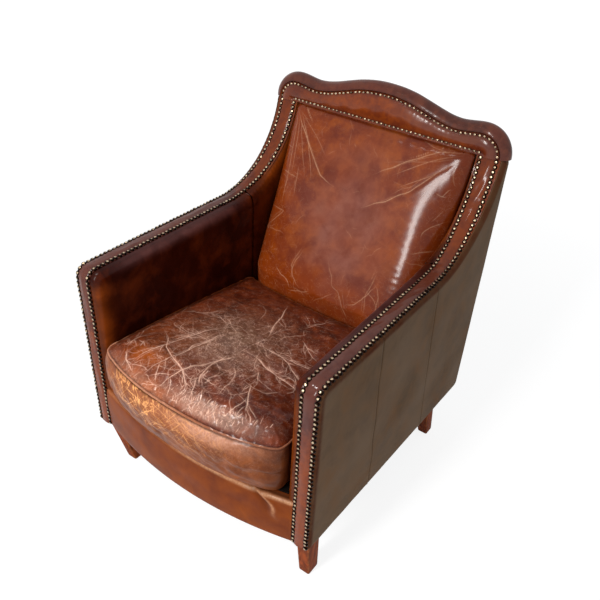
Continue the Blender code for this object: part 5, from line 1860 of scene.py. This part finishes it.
        # Painted highlight on the top's front edge, between about 10 and 40 mm in from the rim.
        glow = smooth(0.0, 0.012, away) * smooth(0.050, 0.026, away) * bell(x[:top_count], 0.10, 0.075)
        scar[:top_count] = np.maximum(scar[:top_count], 0.34 * glow * (y[:top_count] < 0.04))
        scar = np.maximum(scar, np.where(boxing, pale, 0.12 * worn_edge))
        shape.mark(Mark.SCAR, scar)
        net = spot_at(x, y, (-0.03, 0.15), (0.14, 0.16))
        shape.mark(Mark.CRACKLE, np.where(
            lower, 0.06 + 0.14 * upper, np.maximum(0.20 + 0.6 * net, 0.6 * worn_edge)))
        below = self.top_at(x, y) - self.rim_drop - z
        # Painted shade on the boxing just under the welt and at its right end.
        under_welt = 0.95 * smooth(0.0060, 0.0035, below)
        grime = np.where(boxing, np.maximum(0.5 * smooth(0.19, 0.245, x), under_welt), 0.0)
        # Painted shadow of the right arm over the seat's right front.
        shaded = smooth(0.07, 0.18, x) * smooth(0.36, 0.2, y) * smooth(0.0, 0.03, y)
        # Painted shade along the top's rim and in that shadow.
        grime[:top_count] = np.maximum(0.85 * smooth(0.0036, 0.0, away), 0.36 * shaded[:top_count])
        # Painted shade beside the arms.
        grime = np.maximum(grime, np.where(y > 0.02, 0.7 * smooth(0.225, 0.247, abs(x)), 0))
        shape.mark(Mark.GRIME, grime)

    def welt(self) -> Shape:
        """A piped cord sewn round the cushion, just below the top of its rim."""
        plan = resample(looped(self.plan(0.0)), 0.004)[:-1]
        at, push = self._push(plan)
        spot = plan + push * self.welt_out
        z = self.top_at(plan[:, 0], plan[:, 1]) - self.rim_drop - self.welt_drop
        z += 0.0006 * ripple(at[:, None], 0.03, 130)
        line = np.column_stack((spot[:, 0] + self.shift, spot[:, 1], z))
        ahead = np.roll(line, -1, axis=0) - np.roll(line, 1, axis=0)
        ahead /= np.linalg.norm(ahead, axis=1)[:, None]
        across = np.column_stack((ahead[:, 1], -ahead[:, 0], np.zeros(len(line))))
        shape = cord(line, ahead, across, self.welt_r, closed=True)
        x = np.repeat(line[:, 0], CORD_SIDES)
        front = smooth(0.10, 0.02, np.repeat(line[:, 1], CORD_SIDES))
        shape.mark(Mark.RUB, (0.30 + 0.5 * smooth(0.12, -0.02, x)) * front)
        shape.mark(Mark.SCAR, (0.10 + 0.15 * smooth(0.05, -0.05, x)) * front)
        return shape


# ---------------------------------------------------------------- rail, back and legs
@dataclass
class RailCover:
    """Leather over the bowed front rail, its padded top edge sagging into one fold."""

    end: float = 0.2807
    skin: float = 0.008
    lip: float = 0.020
    edge_r: float = 0.012

    def shape(self) -> Shape:
        """The cover, puffed a little over its padding."""
        s = SIZES
        x = np.linspace(-self.end, self.end, 201)
        face = np.linspace(s.hem, s.deck_top - self.edge_r, 34)
        over = arc((self.edge_r, s.deck_top - self.edge_r), self.edge_r, 180, 90, 7)
        front = np.vstack((np.column_stack((np.zeros(len(face)), face)), over[1:]))
        section = np.vstack((front, [(self.lip, s.deck_top), (self.lip, s.rail_top + s.gap),
                                     (self.skin, s.rail_top + s.gap), (self.skin, s.hem)]))
        rings = np.zeros((len(x), len(section), 3))
        marks = {mark: np.zeros((len(x), len(section))) for mark in (Mark.RUB, Mark.SCAR, Mark.GRIME)}
        for k, (depth, z) in enumerate(section):
            bow = -s.front_bow * (1 - (x / s.frame_in) ** 2)
            puff = 0.0
            if k < len(front):
                share = (z - s.hem) / (s.deck_top - s.hem)
                puff = -0.0022 * math.sin(math.pi * min(1.0, share * 1.02)) ** 0.6
                spot = np.column_stack((x, np.full_like(x, 1.7 * z)))
                puff = puff - 0.0010 * ripple(spot, 0.12, 140) * math.sin(math.pi * share)
                fall = s.deck_top - z
                slope = x - (0.200 + 0.9 * fall + 0.014 * math.sin(fall * 70.0))
                high = smooth(0.215, 0.262, z)
                roll = bell(slope, 0.012) * high
                valley = bell(slope, 0.010, -0.016) * high
                puff = puff - 0.0030 * roll + 0.0034 * valley
                # Painted highlight along the rounded top edge, stronger to the right, with some wear.
                rim_line = bell(z, 0.0035, s.deck_top - 0.0045)
                rim_highlight_and_wear = (0.2 + 0.45 * smooth(-0.06, 0.04, x)) * rim_line
                # The fold's ridge gets a painted highlight line.
                marks[Mark.SCAR][:, k] = np.maximum(rim_highlight_and_wear, 0.55 * bell(slope, 0.004) * high)
                # Painted shade in the fold's pocket and along the top edge under the cushion.
                marks[Mark.GRIME][:, k] = np.maximum(0.55 * valley,
                                                     0.9 * smooth(s.deck_top - 0.002, s.deck_top, z))
            rings[:, k, 0] = x
            rings[:, k, 1] = bow + depth + puff
            rings[:, k, 2] = z
        shape = ring_loft(rings)
        for mark, values in marks.items():
            shape.mark(mark, values.ravel())
        return shape


@dataclass
class OutsideBack:
    """Plain leather back, drawn tight under the crest border."""

    hem_r: float = 0.016
    crown: float = 0.0030
    tuck: float = 0.0015
    spacing: float = 0.0062

    def shape(self, crest: Crest) -> Shape:
        """The back panel with a slight crown."""
        s = SIZES
        hem = s.fallen(s.hem, s.rear_face)
        row, _ = crest.pitched_row()
        rim = crest.offset(row, s.nail_half)
        half = s.frame_out
        outline = np.vstack((arc((self.hem_r - half, hem + self.hem_r), self.hem_r, 180, 270, 5),
                             arc((half - self.hem_r, hem + self.hem_r), self.hem_r, -90, 0, 5),
                             [(half, s.seam_z)], rim, [(-half, s.seam_z)]))
        panel = Panel(outline, self.spacing)
        away, _ = nearest(panel.flat, looped(outline))
        y = s.rear_face + self.crown * rim_ease(away, 0.030, 0.8)
        y -= self.tuck
        y += 0.0006 * ripple(panel.flat, 0.14, 150) * np.clip(away / 0.06, 0, 1)
        front = np.column_stack((panel.flat[:, 0], y, panel.flat[:, 1]))
        shape = panel.solid(front, lambda flat: np.column_stack((
            flat[:, 0], np.full(len(flat), s.rear_frame + s.gap), flat[:, 1])))
        # Painted shade along the panel's edges.
        shape.mark(Mark.GRIME, 0.55 * smooth(0.010, 0.0, away))
        shape.mark(Mark.BLOOM, 0.35 + 0.3 * ripple(panel.flat, 0.22, 151))
        return shape


@dataclass
class TaperedLeg:
    """Square leg between two rectangles, its arrises rounded and chipped."""

    name: str
    side: int
    top: tuple[float, float, float, float]     # inner and outer side, front and rear
    foot: tuple[float, float, float, float]
    level: float = 0.006
    frame_bottom: float = 0.1697
    arris: float = 0.0042

    def shape(self) -> Shape:
        """The leg from its eased foot to the rail."""
        full = SIZES.fallen(self.frame_bottom, self.top[2]) + self.level
        heights = np.concatenate(([0.0, 0.0010, 0.0024, 0.0045, 0.007], np.linspace(0.014, full, 30)))
        draws = np.concatenate(([0.0035, 0.0018, 0.0008, 0.0002], np.zeros(31)))
        rings, worn = [], []
        for height, draw in zip(heights, draws):
            share = height / full
            x0, x1, y0, y1 = (mix(a, b, share) for a, b in zip(self.foot, self.top))
            x0, x1, y0, y1 = x0 + draw, x1 - draw, y0 + draw, y1 - draw
            r = self.arris
            ring = np.vstack([arc(centre, r, start, start + 90, 4) for centre, start in (
                ((x1 - r, y1 - r), 0), ((x0 + r, y1 - r), 90), ((x0 + r, y0 + r), 180),
                ((x1 - r, y0 + r), 270))])
            rail = np.array([SIZES.fallen(self.frame_bottom, y) for y in ring[:, 1]])
            z = np.where(height == full, rail, height - self.level)
            rings.append(np.column_stack((self.side * ring[:, 0], ring[:, 1], z)))
            edge = np.tile((0.12, 0.6, 1.0, 0.6, 0.12), 4)
            worn.append(edge * (0.5 + 0.5 * smooth(0.05, 0.0, height)))
        shape = ring_loft(np.array(rings))
        shape.mark(Mark.RUB, np.concatenate(worn))
        return shape


# ---------------------------------------------------------------- the chair
class ClubChair:
    """All the dressed pieces of the chair."""

    def __init__(self) -> None:
        """Make the finishes."""
        self.finishes = Finishes()
        self.crest = Crest()

    def build(self) -> None:
        """Make every piece in order."""
        for seed, (word, side) in enumerate(SIDES):
            self._side(word, side, 200 + 10 * seed)
        self._crest()
        self._middle()
        self._legs()
        self._frame()

    def _nails(self, rows: Sequence[NailRow], seed: int) -> None:
        """Drive rows of nails."""
        for k, row in enumerate(rows):
            publish(row.name, row.shape(seed + k), self.finishes.nails, sharp=180.0)

    def _side(self, word: str, side: int, seed: int) -> None:
        """One arm with its wing."""
        f = self.finishes
        band = NailedBand(word, side)
        publish(f"{word}_band", band.shape(), f.band, [f"{word}_arm_band"])
        publish(f"{word}_wing_piping", band.piping(), f.border)
        self._nails(band.nails(), seed)
        publish(f"{word}_side_cover", SideCover(word, side).shape(), f.side,
                [f"{word}_outside_arm"])
        arm = publish(f"{word}_arm_pad", ArmLining(word, side).shape(), f.arm,
                      [f"{word}_inside_arm"])
        wing = publish(f"{word}_wing_pad", WingLining(word, side).shape(), f.arm,
                       [f"{word}_inside_wing"])

    def _crest(self) -> None:
        """Crest panel, border and nails."""
        f = self.finishes
        panel = publish("crest_field", self.crest.panel(), f.crest, ["crest_panel"])
        border = publish("crest_border", self.crest.roll(), f.border, ["crest_roll"])
        self._nails(self.crest.nails(), 240)

    def _middle(self) -> None:
        """Inside back, cushion, front rail cover and outside back."""
        f = self.finishes
        pillow = publish("back_pillow", TightBack().shape(), f.back, ["inside_back"])
        cushion = LooseCushion()
        seat = publish("seat_pillow", cushion.shape(), f.seat, ["seat_cushion"])
        cushion.cover_boxing(seat.data, f.boxing)
        publish("seat_welt", cushion.welt(), f.boxing)
        rail = publish("rail_cover", RailCover().shape(), f.rail, ["front_panel"])
        publish("outside_back_cover", OutsideBack().shape(self.crest), f.side,
                ["outside_back"])

    def _legs(self) -> None:
        """Two front and two rear legs."""
        for word, side in SIDES:
            for place, top, foot in (
                    ("front", (0.284, 0.318, 0.013, 0.058), (0.274, 0.3035, 0.0505, 0.088)),
                    ("rear", (0.2835, 0.3215, 0.578, 0.622), (0.287, 0.316, 0.631, 0.664))):
                leg = TaperedLeg(f"{word}_{place}_foot_leg", side, top, foot)
                publish(leg.name, leg.shape(), self.finishes.leg,
                        [f"{word}_{place}_leg"])

    def _frame(self) -> None:
        """Finish the solids that stay as they are."""
        f = self.finishes
        ways = {"post": Grain.UPRIGHT, "upright": Grain.UPRIGHT, "block": Grain.UPRIGHT,
                "side_rail": Grain.ALONG_Y, "arm_rail": Grain.ALONG_Y, "sweep_rail": Grain.ALONG_Y,
                "tack_rail": Grain.ALONG_Y}
        for name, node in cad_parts.items():
            if node.hide_render:
                continue
            if "spring" in name:
                finish = f.wire
            elif "strap" in name:
                finish = f.jute
            elif "dust" in name or "deck" in name or name == "crest_rail":
                finish = f.cambric
            else:
                way = next((w for key, w in ways.items() if key in name), Grain.ALONG_X)
                finish = f.beech[way]
            for slot in node.material_slots:
                slot.material = finish


# ---------------------------------------------------------------- studio
def seen_ray(tree: Tree) -> Socket:
    """One for rays that the camera, a gloss or glass sees; zero for those that light things."""
    path = tree.nodes.new("ShaderNodeLightPath")
    first = add_node(tree, "Math", {"operation": "MAXIMUM"}, {
        0: path.outputs["Is Camera Ray"], 1: path.outputs["Is Glossy Ray"]})
    return add_node(tree, "Math", {"operation": "MAXIMUM"}, {
        0: first.outputs[0], 1: path.outputs["Is Transmission Ray"]}).outputs[0]


@dataclass(frozen=True)
class Studio:
    """Camera, soft key light from straight ahead, pale floor and white surround."""

    camera_at: tuple[float, float, float] = (0.7676, -1.0780, 1.4111)
    camera_turn: tuple[float, float, float] = (54.6805, -3.7574, 34.4223)
    lens: float = 39.78
    shift: tuple[float, float] = (-0.0383, 0.0137)
    sensor: float = 36.0
    light_colour: tuple[float, float, float] = (1.0, 0.985, 0.96)
    key_at: tuple[float, float, float] = (-0.10, -3.05, 2.32)
    key_aim: tuple[float, float, float] = (0.0, 0.0, 0.5)
    key_size: tuple[float, float] = (0.42, 1.55)
    key_power: float = 94.0
    top_at: tuple[float, float, float] = (-0.45, -0.75, 2.30)
    top_aim: tuple[float, float, float] = (0.05, -0.36, 0.42)
    top_size: tuple[float, float] = (0.30, 0.22)
    top_power: float = 1.45
    top_spread: float = 50.0
    ambient: float = 0.44
    floor_half: float = 30.0
    glow_near: tuple[float, float] = (1.0, 0.86)     # distance and strength of the floor's glow
    glow_far: tuple[float, float] = (4.5, 1.0)

    def build(self) -> None:
        """Set up the camera, the lights and the floor."""
        self._camera()
        self._lights()
        self._world()
        self._floor()
        scene = bpy.context.scene
        scene.view_settings.view_transform = "Standard"

    def _camera(self) -> None:
        """The one camera."""
        data = bpy.data.cameras.new("camera")
        data.lens = self.lens
        data.sensor_width = self.sensor
        data.sensor_fit = "HORIZONTAL"
        data.shift_x, data.shift_y = self.shift
        data.dof.use_dof = False
        camera = bpy.data.objects.new("camera", data)
        camera.location = self.camera_at
        camera.rotation_euler = [math.radians(a) for a in self.camera_turn]
        bpy.context.scene.collection.objects.link(camera)
        bpy.context.scene.camera = camera

    def _area(self, name: str, at: Sequence[float], aim: Sequence[float],
              size: tuple[float, float], power: float, spread: float = 180.0) -> None:
        """A rectangular soft light, width by height, aimed at a point."""
        data = bpy.data.lights.new(name, "AREA")
        data.shape = "RECTANGLE"
        data.size, data.size_y = size
        data.energy = power
        data.color = self.light_colour
        data.spread = math.radians(spread)
        lamp = bpy.data.objects.new(name, data)
        lamp.location = at
        lamp.rotation_euler = (Vector(aim) - Vector(at)).to_track_quat("-Z", "Y").to_euler()
        bpy.context.scene.collection.objects.link(lamp)

    def _lights(self) -> None:
        """The key light ahead, and a small narrow one above for the seat's front edge."""
        self._area("key_light", self.key_at, self.key_aim, self.key_size, self.key_power)
        self._area("top_light", self.top_at, self.top_aim, self.top_size, self.top_power,
                   self.top_spread)

    def _world(self) -> None:
        """White to the camera and in mirror-like views, dimmer as light on the chair."""
        world = bpy.data.worlds.new("studio")
        world.use_nodes = True
        tree = world.node_tree
        tree.nodes.clear()
        seen = add_node(tree, "Background", inputs={"Color": (1, 1, 1, 1), "Strength": 1.0})
        lit = add_node(tree, "Background", inputs={
            "Color": (0.95, 0.97, 1.0, 1), "Strength": self.ambient})
        mixed = add_node(tree, "MixShader", inputs={
            0: seen_ray(tree), 1: lit.outputs[0], 2: seen.outputs[0]})
        add_node(tree, "OutputWorld", inputs={"Surface": mixed.outputs[0]})
        bpy.context.scene.world = world

    def _floor(self) -> None:
        """A wide pale floor under the feet that keeps their shadow."""
        mesh = bpy.data.meshes.new("floor")
        level = float(CAD_BOX[0][2])
        far = self.floor_half
        mesh.from_pydata([(-far, -far, level), (far, -far, level), (far, far, level), (-far, far, level)],
                         [], [(0, 1, 2, 3)])
        material, tree = new_material("floor_white")
        matt = add_node(tree, "BsdfDiffuse", inputs={"Color": (0.93, 0.93, 0.93, 1)})
        faint = add_node(tree, "BsdfDiffuse", inputs={"Color": (0.24, 0.24, 0.24, 1)})
        spot = add_node(tree, "NewGeometry").outputs["Position"]
        away = add_node(tree, "VectorMath", {"operation": "LENGTH"}, {0: spot}).outputs["Value"]
        strength = add_node(tree, "MapRange", inputs={
            "Value": away, "From Min": self.glow_near[0], "From Max": self.glow_far[0],
            "To Min": self.glow_near[1], "To Max": self.glow_far[1]}).outputs[0]
        glow = add_node(tree, "Emission", inputs={"Color": (1, 1, 1, 1), "Strength": strength})
        white = add_node(tree, "AddShader", inputs={0: faint.outputs[0], 1: glow.outputs[0]})
        mixed = add_node(tree, "MixShader", inputs={
            0: seen_ray(tree), 1: matt.outputs[0], 2: white.outputs[0]})
        add_node(tree, "OutputMaterial", inputs={"Surface": mixed.outputs[0]})
        mesh.materials.append(material)
        floor = bpy.data.objects.new("floor", mesh)
        bpy.context.scene.collection.objects.link(floor)


def write_size() -> None:
    """Bring the view layer up to date."""
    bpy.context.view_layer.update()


def main() -> None:
    """Dress the chair and set up the studio."""
    logging.basicConfig(level=logging.INFO, format="%(name)s %(message)s")
    Studio().build()
    ClubChair().build()
    write_size()


if __name__ == "__main__":
    main()
